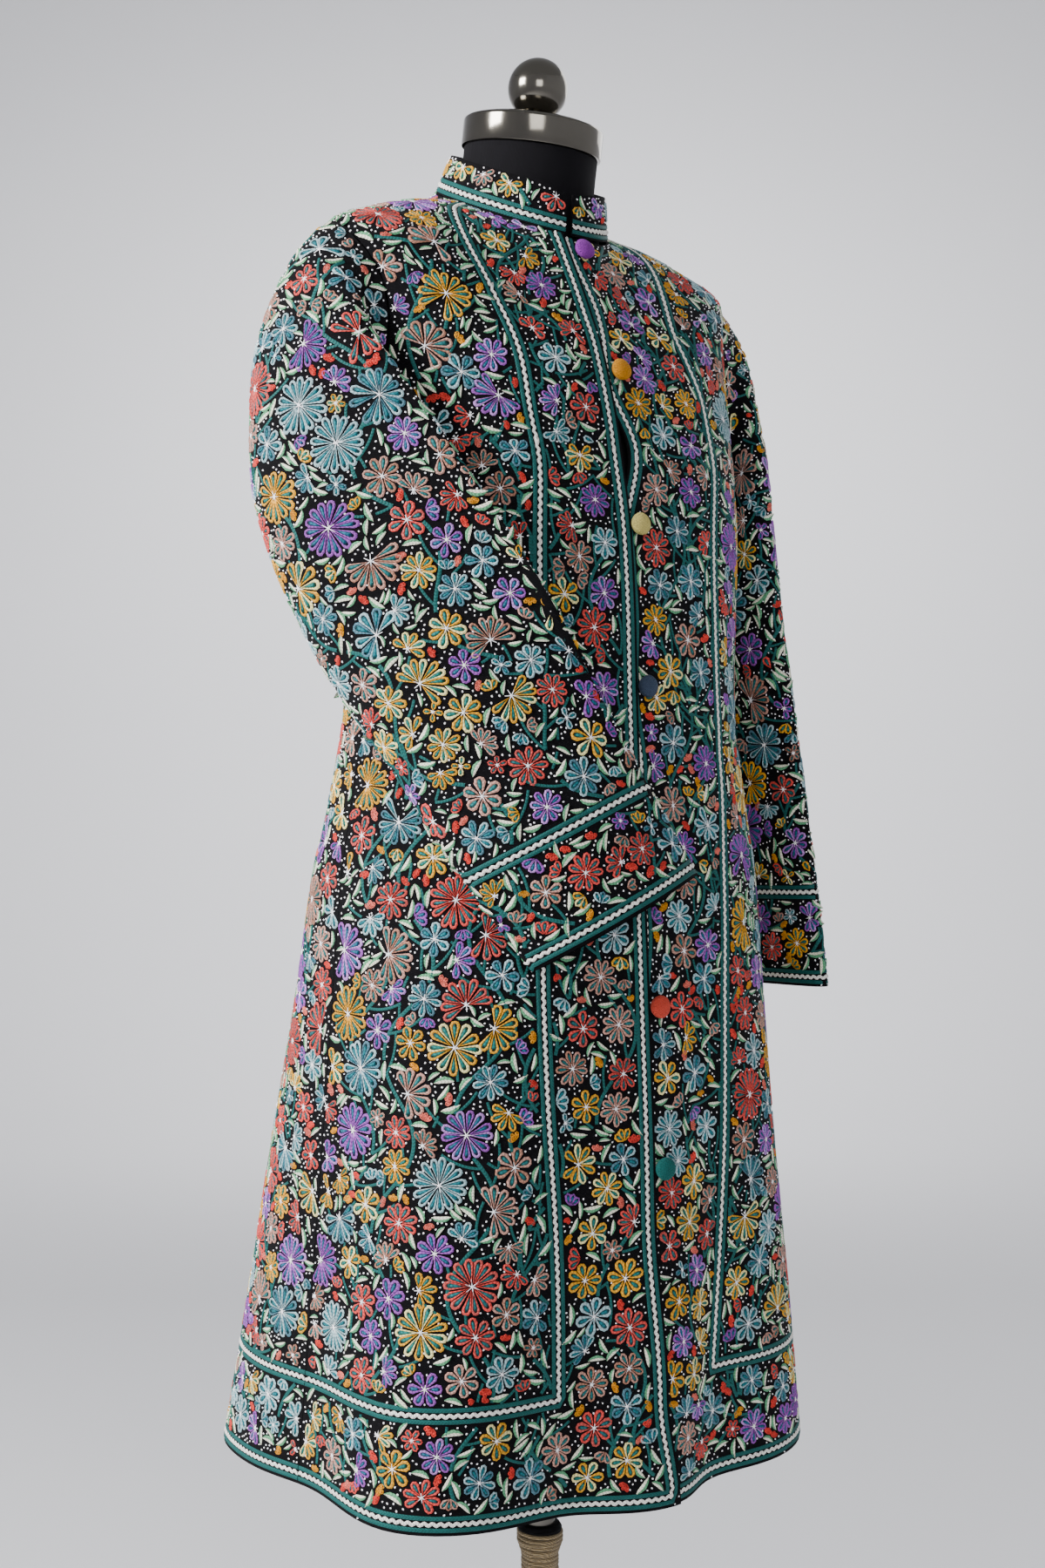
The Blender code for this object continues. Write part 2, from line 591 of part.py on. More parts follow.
def dress_form():
    """The torso, from its flat underside over the shoulders into the neck."""
    axis = np.array([0, -math.sin(NECK_TILT), math.cos(NECK_TILT)])
    side_axis = np.array([1.0, 0, 0])
    front_axis = np.cross(axis, side_axis)
    first = row_at_front_height(FORM_BOTTOM)
    body_rows = [first + (UNDERARM_ROW - first) * i / FORM_RINGS for i in range(FORM_RINGS)]
    body_rows += panel_rows()[BODY_ROWS::2][:ARMHOLE_ROWS // 2]
    body_rows += panel_rows()[BODY_ROWS + ARMHOLE_ROWS:]
    angles = [360 * j / FORM_SIDES for j in range(FORM_SIDES)]
    rings = []
    for row in body_rows:
        ring = []
        for angle in angles:
            normal = body_normal(angle, row, fluted=False)
            ring.append(body_point(angle, row, fluted=False) - form_clearance(angle, row) * normal)
        rings.append(ring)
    for point in rings[0]:
        point[2] = FORM_BOTTOM
    below_top = NECK_TOP_CENTRE - axis * NECK_STRAIGHT
    for base, radius in ((below_top, NECK_RADIUS + NECK_SPREAD), (NECK_TOP_CENTRE, NECK_RADIUS)):
        ring = []
        for angle in angles:
            turn = math.radians(angle)
            away = side_axis * math.sin(turn) + front_axis * math.cos(turn)
            ring.append(base - radius * away)
        rings.append(ring)
    mesh = bmesh.new()
    verts = [[mesh.verts.new(p) for p in ring] for ring in rings]
    for low, high in zip(verts, verts[1:]):
        for j in range(FORM_SIDES):
            k = (j + 1) % FORM_SIDES
            mesh.faces.new((low[j], low[k], high[k], high[j]))
    mesh.faces.new(verts[0])
    mesh.faces.new(verts[-1])
    bmesh.ops.triangulate(mesh, faces=mesh.faces[:])
    bmesh.ops.recalc_face_normals(mesh, faces=mesh.faces[:])
    data = bpy.data.meshes.new("dress_form")
    mesh.to_mesh(data)
    mesh.free()
    return new_object("dress_form", data, "black_jersey")


def neck_cap_and_ball():
    axis = np.array([0, -math.sin(NECK_TILT), math.cos(NECK_TILT)])
    seat = NECK_TOP_CENTRE + axis * TOUCH
    top = CAP_RIM + CAP_DOME
    turned("neck_cap",
           [(0, 0), (CAP_RADIUS - CAP_EDGE, 0), (CAP_RADIUS, CAP_EDGE),
            (CAP_RADIUS, CAP_RIM - CAP_ROUND), (CAP_RADIUS - CAP_ROUND, CAP_RIM),
            (CAP_RADIUS * 0.6, CAP_RIM + CAP_DOME * 0.65), (CAP_BOSS_RADIUS, top), (0, top)],
           "polished_steel", seat, axis, sides=CAP_SIDES)
    seat = seat + axis * (top + TOUCH)
    middle = BALL_HEIGHT - top
    ball_foot = math.radians(BALL_FOOT_DEG)
    profile = [(0, 0), (BALL_NECK_RADIUS, 0),
               (BALL_NECK_RADIUS, middle + BALL_RADIUS * math.sin(ball_foot))]
    for i in range(1, BALL_STEPS):
        turn = ball_foot + (math.pi / 2 - ball_foot) * i / BALL_STEPS
        profile.append((BALL_RADIUS * math.cos(turn), middle + BALL_RADIUS * math.sin(turn)))
    profile.append((0, middle + BALL_RADIUS))
    turned("finial_ball", profile, "polished_steel", seat, axis)


def stand():
    top = FORM_BOTTOM - TOUCH
    foot = WRAP_BOTTOM + POLE_IN_WRAP
    turned("pole", [(0, foot), (POLE_RADIUS, foot), (POLE_RADIUS, top), (0, top)],
           "brushed_steel", sides=POLE_SIDES)
    wrap = [(0, foot - TOUCH), (POLE_RADIUS + TOUCH, foot - TOUCH)]
    wrap += [(radius, WRAP_TOP - below) for radius, below in WRAP_OUTLINE]
    wrap += [(WRAP_RADIUS, WRAP_BOTTOM + 0.004), (TUBE_RADIUS + 0.0008, WRAP_BOTTOM + 0.0005),
             (0, WRAP_BOTTOM + TOUCH)]
    turned("twine_wrap", wrap, "jute_twine", sides=WRAP_SIDES)
    turned("tube", [(0, HUB_HEIGHT + TOUCH), (TUBE_RADIUS, HUB_HEIGHT + TOUCH),
                    (TUBE_RADIUS, WRAP_BOTTOM), (0, WRAP_BOTTOM)],
           "brushed_steel", sides=POLE_SIDES)
    turned("base_plate", [(0, 0), *BASE_OUTLINE, (0, HUB_HEIGHT)], "black_enamel", sides=BASE_SIDES)


def main():
    for obj in list(bpy.data.objects):
        bpy.data.objects.remove(obj, do_unlink=True)
    for name, (colour, roughness, metallic) in MATERIALS.items():
        material = bpy.data.materials.new(name)
        material.use_nodes = True
        shader = material.node_tree.nodes["Principled BSDF"]
        shader.inputs["Base Color"].default_value = colour
        shader.inputs["Roughness"].default_value = roughness
        shader.inputs["Metallic"].default_value = metallic
        material.diffuse_color = colour
    fronts_and_back()
    sleeve("sleeve_right", 1, RIGHT_SLEEVE)
    sleeve("sleeve_left", -1, LEFT_SLEEVE)
    collar()
    buttons()
    dress_form()
    neck_cap_and_ball()
    stand()


main()
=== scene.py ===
import math
from collections import namedtuple

import bpy
import numpy as np
from mathutils import Matrix, Vector


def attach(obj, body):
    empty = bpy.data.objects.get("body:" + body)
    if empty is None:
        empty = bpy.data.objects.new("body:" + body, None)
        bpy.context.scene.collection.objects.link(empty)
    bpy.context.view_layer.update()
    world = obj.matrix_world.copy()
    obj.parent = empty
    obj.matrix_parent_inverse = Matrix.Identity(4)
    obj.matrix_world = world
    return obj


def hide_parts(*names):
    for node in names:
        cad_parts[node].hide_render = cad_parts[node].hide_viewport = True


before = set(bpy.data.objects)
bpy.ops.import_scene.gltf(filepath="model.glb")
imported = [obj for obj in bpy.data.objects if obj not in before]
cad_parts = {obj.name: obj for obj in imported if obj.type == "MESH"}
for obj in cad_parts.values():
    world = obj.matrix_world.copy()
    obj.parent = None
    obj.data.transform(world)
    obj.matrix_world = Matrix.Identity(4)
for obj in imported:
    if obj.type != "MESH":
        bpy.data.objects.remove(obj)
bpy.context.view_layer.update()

# A knee-length jacket of black wool, covered with chain-stitch flowers, on a dress form.
# Metres, +Z up, the front faces -Y and the wearer's right is at -X. Angles round the body run
# from the centre front (0) over the wearer's right (90) and the back (180).

WALL = 0.002
SEAM_GAP = 0.0005
LAP_GAP = 0.0008

Section = namedtuple(
    "Section", "z_front z_side z_back half_width front back side_y square ridge lean"
)
SECTIONS = np.array([
    Section(0.440, 0.453, 0.446, 0.2180, 0.157, 0.220, 0.031, 3.00, 2.0, 1.0),
    Section(0.571, 0.571, 0.571, 0.2090, 0.154, 0.202, 0.024, 2.80, 4.0, 1.0),
    Section(0.696, 0.696, 0.696, 0.1985, 0.150, 0.187, 0.019, 2.60, 8.0, 1.0),
    Section(0.813, 0.813, 0.813, 0.1935, 0.143, 0.160, 0.008, 2.40, 8.0, 1.0),
    Section(0.910, 0.910, 0.910, 0.1880, 0.137, 0.139, 0.001, 2.30, 8.0, 1.0),
    Section(0.960, 0.960, 0.960, 0.1800, 0.133, 0.124, 0.000, 2.25, 8.0, 1.0),
    Section(1.040, 1.040, 1.040, 0.1680, 0.129, 0.107, 0.000, 2.25, 8.0, 1.0),
    Section(1.110, 1.110, 1.110, 0.1675, 0.126, 0.108, 0.000, 2.35, 8.0, 1.0),
    Section(1.176, 1.176, 1.176, 0.1715, 0.120, 0.115, 0.000, 2.45, 8.0, 1.0),
    Section(1.232, 1.232, 1.232, 0.1745, 0.112, 0.121, 0.000, 2.40, 8.0, 1.0),
    Section(1.280, 1.300, 1.290, 0.1780, 0.102, 0.124, 0.003, 2.25, 8.0, 1.0),
    Section(1.316, 1.360, 1.345, 0.1850, 0.091, 0.120, 0.006, 2.05, 8.0, 1.0),
    Section(1.339, 1.400, 1.384, 0.1920, 0.081, 0.112, 0.008, 1.80, 7.0, 1.0),
    Section(1.364, 1.418, 1.414, 0.1590, 0.070, 0.105, 0.012, 1.75, 6.0, 0.9),
    Section(1.387, 1.433, 1.440, 0.1190, 0.0590, 0.099, 0.017, 1.80, 4.0, 0.75),
    Section(1.403, 1.440, 1.461, 0.0880, 0.0510, 0.0955, 0.021, 1.95, 2.6, 0.6),
    Section(1.412, 1.445, 1.477, 0.0700, 0.0460, 0.0940, 0.024, 2.00, 2.0, 0.5),
])
UNDERARM_ROW = 9.0
SHOULDER_ROW = 12.0
NECK_ROW = 16.0
BUST_ROW = 8.0
ARMHOLE_FRONT_DEG = 13.5
ARMHOLE_BACK_DEG = 14.0
ARMHOLE_ROUND = 0.70
ARMHOLE_GUIDES = 10

Flute = namedtuple("Flute", "angle half_width depth top")
FLUTES = (
    Flute(27.0, 19.0, -0.034, 0.930),
    Flute(61.0, 9.0, 0.004, 1.000),
    Flute(84.0, 15.0, -0.013, 0.960),
    Flute(128.0, 12.0, 0.008, 0.900),
    Flute(152.0, 13.0, -0.016, 0.880),
    Flute(180.0, 12.0, 0.010, 0.900),
    Flute(207.0, 13.0, -0.018, 0.860),
    Flute(240.0, 13.0, 0.010, 0.900),
    Flute(272.0, 15.0, -0.014, 0.930),
    Flute(306.0, 11.0, 0.003, 0.960),
    Flute(336.0, 13.0, -0.026, 0.900),
)
FLUTE_POWER = 1.35

# Where each front edge lies: x at given heights
RIGHT_EDGE = ((0.44, 0.0160), (0.52, 0.0040), (0.66, -0.0060), (1.05, -0.0070),
              (1.17, -0.0060), (1.24, -0.0085), (1.30, -0.0100), (1.42, -0.0120))
LEFT_EDGE = ((0.44, -0.0190), (0.81, -0.0190), (0.87, -0.0130), (0.93, -0.0170),
             (0.99, -0.0110), (1.05, -0.0180), (1.11, -0.0150), (1.17, -0.0160),
             (1.235, 0.0010), (1.29, -0.0170), (1.345, -0.0100), (1.40, -0.0170),
             (1.42, -0.0150))
UNDERLAP_BLEND = (0.034, 0.075)

COLLAR_TOP_RADIUS = 0.0625
COLLAR_TOP_CENTRE_Y = 0.0155
COLLAR_TOP_MEAN_Z = 1.476
COLLAR_TOP_TILT = 0.028
COLLAR_FRONT_X = (-0.0100, -0.0040)
COLLAR_FRONT_DROP = 0.004
COLLAR_FRONT_WIDTH = 1.2 / 28

# Each sleeve, section by section: its outer line, front edge, inner line and back edge
RIGHT_SLEEVE = np.array([
    [(-.2090, .0080, 1.3960), (-.1860, -.0430, 1.3070), (-.1800, .0030, 1.2300), (-.1870, .0530, 1.3150)],
    [(-.2210, .0060, 1.3740), (-.1840, -.0520, 1.2900), (-.1810, .0010, 1.2170), (-.2000, .0700, 1.3000)],
    [(-.2310, .0040, 1.3330), (-.1750, -.0680, 1.2640), (-.1830, -.0050, 1.1980), (-.2080, .0760, 1.2680)],
    [(-.2360, -.0030, 1.2830), (-.1570, -.0910, 1.2280), (-.1840, -.0160, 1.1720), (-.2140, .0690, 1.2230)],
    [(-.2350, -.0120, 1.2240), (-.1400, -.1100, 1.1900), (-.1810, -.0330, 1.1400), (-.2170, .0540, 1.1660)],
    [(-.2250, -.0300, 1.1640), (-.1200, -.1240, 1.1540), (-.1740, -.0520, 1.1040), (-.2090, .0250, 1.1060)],
    [(-.2020, -.0600, 1.1050), (-.0920, -.1370, 1.1050), (-.1580, -.0790, 1.0630), (-.1930, -.0050, 1.0470)],
    [(-.1660, -.1030, 1.0380), (-.0600, -.1480, 1.0430), (-.1340, -.1040, 1.0120), (-.1750, -.0510, 0.9870)],
    [(-.1000, -.1520, 0.9470), (-.0200, -.1570, 0.9760), (-.0900, -.1390, 0.9400), (-.1520, -.1070, 0.9090)],
    [(-.0490, -.1710, 0.8830), (0.0255, -.1590, 0.9120), (-.0430, -.1500, 0.8760), (-.1110, -.1330, 0.8440)],
])
LEFT_SLEEVE = np.array([
    [(.2080, .0080, 1.3960), (.1870, -.0440, 1.3060), (.1800, .0030, 1.2300), (.1860, .0530, 1.3150)],
    [(.2170, .0080, 1.3720), (.1880, -.0550, 1.2880), (.1810, .0030, 1.2170), (.1950, .0680, 1.3000)],
    [(.2230, .0110, 1.3220), (.1880, -.0620, 1.2530), (.1830, .0060, 1.1940), (.2010, .0790, 1.2620)],
    [(.2270, .0130, 1.2540), (.1930, -.0660, 1.2050), (.1860, .0090, 1.1540), (.2050, .0850, 1.2030)],
    [(.2280, .0100, 1.1660), (.1990, -.0700, 1.1380), (.1890, .0080, 1.1020), (.2090, .0860, 1.1320)],
    [(.2310, .0020, 1.0730), (.2070, -.0780, 1.0560), (.1950, .0010, 1.0310), (.2150, .0790, 1.0510)],
    [(.2370, -.0080, .9820), (.2140, -.0870, .9700), (.2050, -.0080, .9550), (.2220, .0700, .9700)],
    [(.2430, -.0180, .8950), (.2210, -.0950, .8900), (.2140, -.0170, .8850), (.2300, .0620, .8900)],
    [(.2480, -.0260, .8130), (.2270, -.1010, .8120), (.2210, -.0250, .8100), (.2370, .0540, .8080)],
])
SLEEVE_START = 0.0005
SLEEVE_HEAD_BLEND = (-0.8, 2.4)
SLEEVE_START_WAY = (0.6, 0.8)

# How finely the cloth is divided
SKIRT_STEPS = 76
ARMHOLE_STEPS = 24
SHOULDER_STEPS = 16
FRONT_STEPS = 40
BACK_STEPS = 66
SLEEVE_STEPS_ROUND = 80
SLEEVE_STEPS_DOWN = 80
COLLAR_STEPS = (96, 12)


# Shapes

def spline(table, at):
    """Rows of a table at fractional places, on a smooth curve through its rows."""
    table = np.asarray(table, float)
    at = np.asarray(at, float)
    last = len(table) - 1
    at = np.clip(at, 0.0, last)
    i = np.minimum(at.astype(int), last - 1)
    t = (at - i).reshape(at.shape + (1,) * (table.ndim - 1))
    ends = np.concatenate([[2 * table[0] - table[1]], table, [2 * table[-1] - table[-2]]])
    p0, p1, p2, p3 = ends[i], ends[i + 1], ends[i + 2], ends[i + 3]
    m1, m2 = (p2 - p0) / 2, (p3 - p1) / 2
    return ((2 * t**3 - 3 * t**2 + 1) * p1 + (t**3 - 2 * t**2 + t) * m1
            + (3 * t**2 - 2 * t**3) * p2 + (t**3 - t**2) * m2)


def smooth_step(value, low, high):
    t = np.clip((value - low) / (high - low), 0.0, 1.0)
    return t * t * (3 - 2 * t)


def height_lookup(table, z):
    """A value given at several heights, eased between them."""
    z = np.asarray(z, float)
    out = np.full(z.shape, float(table[-1][1]))
    for (z0, a), (z1, b) in reversed(list(zip(table, table[1:]))):
        out = np.where(z <= z1, a + (b - a) * smooth_step(z, z0, z1), out)
    return out


def body_point(angle, row, fluted=True):
    """Points of the jacket's outer face, at angles round the body and rows of SECTIONS."""
    angle, row = np.broadcast_arrays(np.asarray(angle, float), np.asarray(row, float))
    section = Section(*np.moveaxis(spline(SECTIONS, row), -1, 0))
    turn = np.radians(angle)
    across, along = np.sin(turn), np.cos(turn)
    is_front = along > 0
    depth = np.where(is_front, section.front + section.side_y, section.back - section.side_y)
    z_end = np.where(is_front, section.z_front, section.z_back)
    radius = (np.abs(along / depth) ** section.square
              + np.abs(across / section.half_width) ** section.square) ** (-1 / section.square)
    over = np.maximum(1 - np.abs(across) ** section.ridge, 0.0) ** section.lean
    z = section.z_side + (z_end - section.z_side) * over
    if fluted:
        for flute in FLUTES:
            away = (angle - flute.angle + 180.0) % 360.0 - 180.0
            grow = np.clip((flute.top - z) / (flute.top - SECTIONS[0][0]), 0.0, 1.0) ** FLUTE_POWER
            radius = radius + flute.depth * grow * np.exp(-((away / flute.half_width) ** 2))
    return np.stack([-radius * across, section.side_y - radius * along, z], -1)


# How far to each side, in degrees and in rows, a normal is worked out from
NORMAL_DEGREES = 1.0
NORMAL_ROWS = 0.08
# A rough radius, for the steps towards a given x
ROUGH_RADIUS = 0.12


def body_normal(angle, row, fluted=True):
    """Unit normals of the jacket's outer face, outwards."""
    angle, row = np.asarray(angle, float), np.asarray(row, float)
    a = (body_point(angle + NORMAL_DEGREES, row, fluted)
         - body_point(angle - NORMAL_DEGREES, row, fluted))
    b = (body_point(angle, np.minimum(row + NORMAL_ROWS, NECK_ROW), fluted)
         - body_point(angle, np.maximum(row - NORMAL_ROWS, 0.0), fluted))
    normal = np.cross(b, a)
    return normal / np.linalg.norm(normal, axis=-1, keepdims=True)


def angle_at_x(x, row):
    """The angle near the centre front at which the outer face has this x."""
    angle = np.zeros(np.shape(row))
    for _ in range(6):
        angle = angle - np.degrees((x - body_point(angle, row)[..., 0]) / ROUGH_RADIUS)
    return angle


def armhole_angle(row, reach):
    """How many degrees the armhole cuts in from the side seam."""
    share = (np.asarray(row, float) - UNDERARM_ROW) / (SHOULDER_ROW - UNDERARM_ROW)
    inside = (share > 0) & (share < 1)
    return np.where(inside, reach * np.sin(np.pi * np.clip(share, 1e-9, 1 - 1e-9)) ** ARMHOLE_ROUND, 0.0)


def armhole_rows(steps):
    turns = np.pi * np.arange(steps + 1) / steps
    return UNDERARM_ROW + (SHOULDER_ROW - UNDERARM_ROW) * (1 - np.cos(turns)) / 2


def panel_rows():
    """The rows at which the panels are cut, from the hem to the neckline."""
    below = np.linspace(0, UNDERARM_ROW, SKIRT_STEPS, endpoint=False)
    over = np.linspace(SHOULDER_ROW, NECK_ROW, SHOULDER_STEPS + 1)
    return np.concatenate([below, armhole_rows(ARMHOLE_STEPS)[:-1], over])


ROWS = panel_rows()
FRONT_HEIGHT = body_point(np.zeros(len(ROWS)), ROWS)[:, 2]
SEAM_ANGLE = np.degrees(SEAM_GAP / 2 / spline(SECTIONS, ROWS)[:, 3])


def unit(vectors):
    return vectors / np.maximum(np.linalg.norm(vectors, axis=-1, keepdims=True), 1e-12)


# The share of the gap between a fold's two sides that each side's wall may fill, and the least
# share of the wall's thickness that is left there
FOLD_SHARE = 0.35
LEAST_WALL = 0.15

# Soft creases of the cloth: two ends, a half width and a depth (outwards is positive)
Crease = namedtuple("Crease", "start end half_width depth")
CREASES = {
    "front_right": (
        Crease((-.150, -.060, 1.330), (-.060, -.110, 1.235), .016, -.0022),
        Crease((-.165, -.020, 1.020), (-.100, -.110, 1.000), .013, -.0020),
        Crease((-.160, -.050, .985), (-.120, -.100, .930), .014, .0016),
        Crease((-.120, -.100, .860), (-.105, -.115, .620), .012, -.0024),
        Crease((-.030, -.140, .820), (-.040, -.140, .600), .010, -.0012),
        Crease((-.190, -.050, .760), (-.198, -.055, .520), .012, -.0020),
    ),
    "front_left": (
        Crease((.150, -.050, 1.330), (.070, -.100, 1.230), .016, -.0022),
        Crease((.160, -.060, 1.030), (.080, -.118, 1.000), .013, -.0018),
        Crease((.050, -.130, .860), (.060, -.130, .620), .010, -.0018),
        Crease((.130, -.110, .840), (.150, -.110, .560), .013, .0018),
    ),
    "back": (
        Crease((-.120, .080, 1.330), (-.040, .115, 1.250), .018, -.0024),
        Crease((.120, .080, 1.330), (.050, .115, 1.255), .018, -.0022),
        Crease((-.030, .105, 1.070), (-.110, .080, 1.040), .013, -.0022),
        Crease((.030, .105, 1.050), (.120, .075, 1.020), .013, -.0020),
        Crease((-.060, .130, .930), (-.075, .180, .600), .014, -.0022),
        Crease((.070, .130, .900), (.085, .185, .560), .015, .0022),
        Crease((.010, .130, .880), (.015, .190, .640), .013, -.0016),
    ),
    "sleeve_right": (
        Crease((-.232, .010, 1.330), (-.196, -.045, 1.255), .012, -.0018),
        Crease((-.205, -.060, 1.215), (-.238, -.005, 1.215), .011, .0016),
        Crease((-.232, .010, 1.190), (-.190, -.075, 1.160), .009, -.0020),
        Crease((-.225, .020, 1.135), (-.170, -.085, 1.125), .010, .0020),
        Crease((-.215, .010, 1.105), (-.165, -.080, 1.095), .008, -.0022),
        Crease((-.195, -.010, 1.065), (-.140, -.100, 1.065), .010, .0014),
        Crease((-.110, -.140, 1.000), (-.165, -.085, .970), .010, -.0014),
        Crease((-.185, .062, 1.250), (-.205, .020, 1.130), .012, -.0020),
    ),
    "sleeve_left": (
        Crease((.222, -.020, 1.345), (.196, -.055, 1.270), .012, -.0018),
        Crease((.200, -.060, 1.215), (.232, -.005, 1.180), .010, -.0022),
        Crease((.204, -.066, 1.160), (.234, .010, 1.110), .009, .0020),
        Crease((.206, -.070, 1.105), (.236, .000, 1.050), .010, -.0024),
        Crease((.214, -.078, 1.020), (.240, -.010, .985), .010, -.0016),
        Crease((.205, .076, 1.240), (.222, .040, 1.130), .012, -.0020),
    ),
    "collar": (),
}


# Where a crease starts and ends to fade, and how quickly
CREASE_ENDS = (0.04, 0.96)
CREASE_FADE = 0.6


def creased(points, normals, creases):
    """Presses soft troughs and ridges into a grid of points."""
    out = points.copy()
    for crease in creases:
        start, end = np.array(crease.start), np.array(crease.end)
        along = end - start
        share = np.clip(((points - start) @ along) / (along @ along), 0.0, 1.0)
        away = np.linalg.norm(points - (start + share[..., None] * along), axis=-1)
        fade = np.sin(np.pi * np.clip(share, *CREASE_ENDS)) ** CREASE_FADE
        push = crease.depth * fade * np.exp(-((away / crease.half_width) ** 2))
        out += push[..., None] * normals
    return out


class Cloth:
    """A cut piece: the grid of its outer face, and places on it by column u and row v."""

    def __init__(self, name, grid, ring=False):
        self.name, self.ring = name, ring
        if ring:
            grid = np.concatenate([grid, grid[:, :1]], axis=1)
        self.columns, self.rows = grid.shape[1] - 1, grid.shape[0] - 1
        self.grid = creased(grid, self.grid_normals(grid), CREASES[name])
        self.normals = self.grid_normals(self.grid)

    def grid_normals(self, grid):
        across = np.gradient(grid, axis=1)
        if self.ring:
            across[:, 0] = across[:, -1] = (grid[:, 1] - grid[:, -2]) / 2
        normals = unit(np.cross(np.gradient(grid, axis=0), across))
        middle = grid.mean(axis=(0, 1)) if not self.ring else grid.mean(axis=1, keepdims=True)
        outward = grid - (middle if self.ring else np.array([0, 0, 0]))
        outward = outward * np.array([1, 1, 0]) if not self.ring else outward
        return normals if (normals * outward).sum() > 0 else -normals

    def cells(self, u, v):
        if self.ring:
            u = np.mod(u, self.columns)
        u = np.clip(u, 0, self.columns - 1e-6)
        v = np.clip(v, 0, self.rows - 1e-6)
        i, j = v.astype(int), u.astype(int)
        return i, j, (u - j)[..., None], (v - i)[..., None]

    def at(self, u, v):
        """Points, normals and the two directions of the grid at places on the cloth."""
        i, j, s, t = self.cells(np.asarray(u, float), np.asarray(v, float))
        a, b = self.grid[i, j], self.grid[i, j + 1]
        c, d = self.grid[i + 1, j], self.grid[i + 1, j + 1]
        point = np.where(s > t, a + (b - a) * s + (d - b) * t, a + (c - a) * t + (d - c) * s)
        normal = unit((self.normals[i, j] * (1 - s) + self.normals[i, j + 1] * s) * (1 - t)
                      + (self.normals[i + 1, j] * (1 - s) + self.normals[i + 1, j + 1] * s) * t)
        return point, normal, (b - a) * (1 - t) + (d - c) * t, (c - a) * (1 - s) + (d - b) * s

    def basis(self, u, v):
        """Points, normals, and unit directions across and up the cloth."""
        point, normal, _, down = self.at(u, v)
        up = unit(down - (down * normal).sum(-1, keepdims=True) * normal)
        return point, normal, np.cross(up, normal), up

    def moved(self, u, v, offset):
        """The places that lie an offset in metres away along the cloth."""
        _, _, du, dv = self.at(u, v)
        a, b, c = (du * du).sum(-1), (du * dv).sum(-1), (dv * dv).sum(-1)
        x, y = (du * offset).sum(-1), (dv * offset).sum(-1)
        det = a * c - b * b
        return u + (c * x - b * y) / det, v + (a * y - b * x) / det

    def inside(self, u, v, margin=0.0):
        """Whether places lie on the cloth, at least margin metres from its edges."""
        _, _, du, dv = self.at(u, v)
        mu = margin / np.linalg.norm(du, axis=-1)
        mv = margin / np.linalg.norm(dv, axis=-1)
        ok = (v > mv) & (v < self.rows - mv)
        return ok if self.ring else ok & (u > mu) & (u < self.columns - mu)

    def area(self):
        across = self.grid[:-1, 1:] - self.grid[:-1, :-1]
        up = self.grid[1:, :-1] - self.grid[:-1, :-1]
        return np.linalg.norm(np.cross(across, up), axis=-1)


def panel(name, start, end, columns, sink=None):
    share = np.linspace(0, 1, columns + 1)
    angles = start[:, None] + (end - start)[:, None] * share
    rows = np.broadcast_to(ROWS[:, None], angles.shape)
    grid = body_point(angles, rows)
    if sink:
        grid = grid - sink(grid[..., 0])[..., None] * body_normal(angles, rows)
    cloth = Cloth(name, grid)
    cloth.start, cloth.end = start, end
    return cloth


def sleeve_ring(guides, at, turn):
    """Closed rings of a sleeve's outer face, at places along its guide sections."""
    lines = spline(guides, at)
    outer, front, inner, back = (lines[:, i, None] for i in range(4))
    centre = (outer + front + inner + back) / 4
    bow = (outer + inner - front - back) / 4
    turn = turn[None, :, None]
    return (centre + np.cos(turn) * (outer - inner) / 2
            + np.sin(turn) * (front - back) / 2 + np.cos(2 * turn) * bow)


def armhole_ring(side, count):
    """The armhole's edge from the shoulder over the front, underarm and back, evenly divided."""
    rows = armhole_rows(ARMHOLE_GUIDES)
    front = [(90 - armhole_angle(r, ARMHOLE_FRONT_DEG), r) for r in rows[::-1]]
    back = [(90 + armhole_angle(r, ARMHOLE_BACK_DEG), r) for r in rows[1:-1]]
    angles, at = np.array(front + back).T
    coarse = len(angles)
    places = np.arange(count) * coarse / count
    closed = np.arange(coarse + 1)
    fine_angle = np.interp(places, closed, np.append(angles, angles[0]))
    fine_row = np.interp(places, closed, np.append(at, at[0]))
    return body_point(side * fine_angle, fine_row), body_normal(side * fine_angle, fine_row)


def sleeve(name, side, guides):
    edge, normal = armhole_ring(side, SLEEVE_STEPS_ROUND)
    turns = 2 * np.pi * np.arange(SLEEVE_STEPS_ROUND) / SLEEVE_STEPS_ROUND
    centre = edge.mean(axis=0)
    tangent = np.roll(edge, -1, axis=0) - np.roll(edge, 1, axis=0)
    into = unit(np.cross(tangent, normal))
    into *= np.sign((into * (centre - edge)).sum(-1, keepdims=True))
    inward, outward = SLEEVE_START_WAY
    first = edge + SLEEVE_START * (into * inward + normal * outward)
    at = np.linspace(0, len(guides) - 1, SLEEVE_STEPS_DOWN)
    shaped = sleeve_ring(guides, at, turns)
    shift = shaped.mean(axis=1, keepdims=True) - centre
    share = smooth_step(at, *SLEEVE_HEAD_BLEND)[:, None, None]
    grid = (edge + shift) * (1 - share) + shaped * share
    return Cloth(name, np.concatenate([first[None], grid]), ring=True)


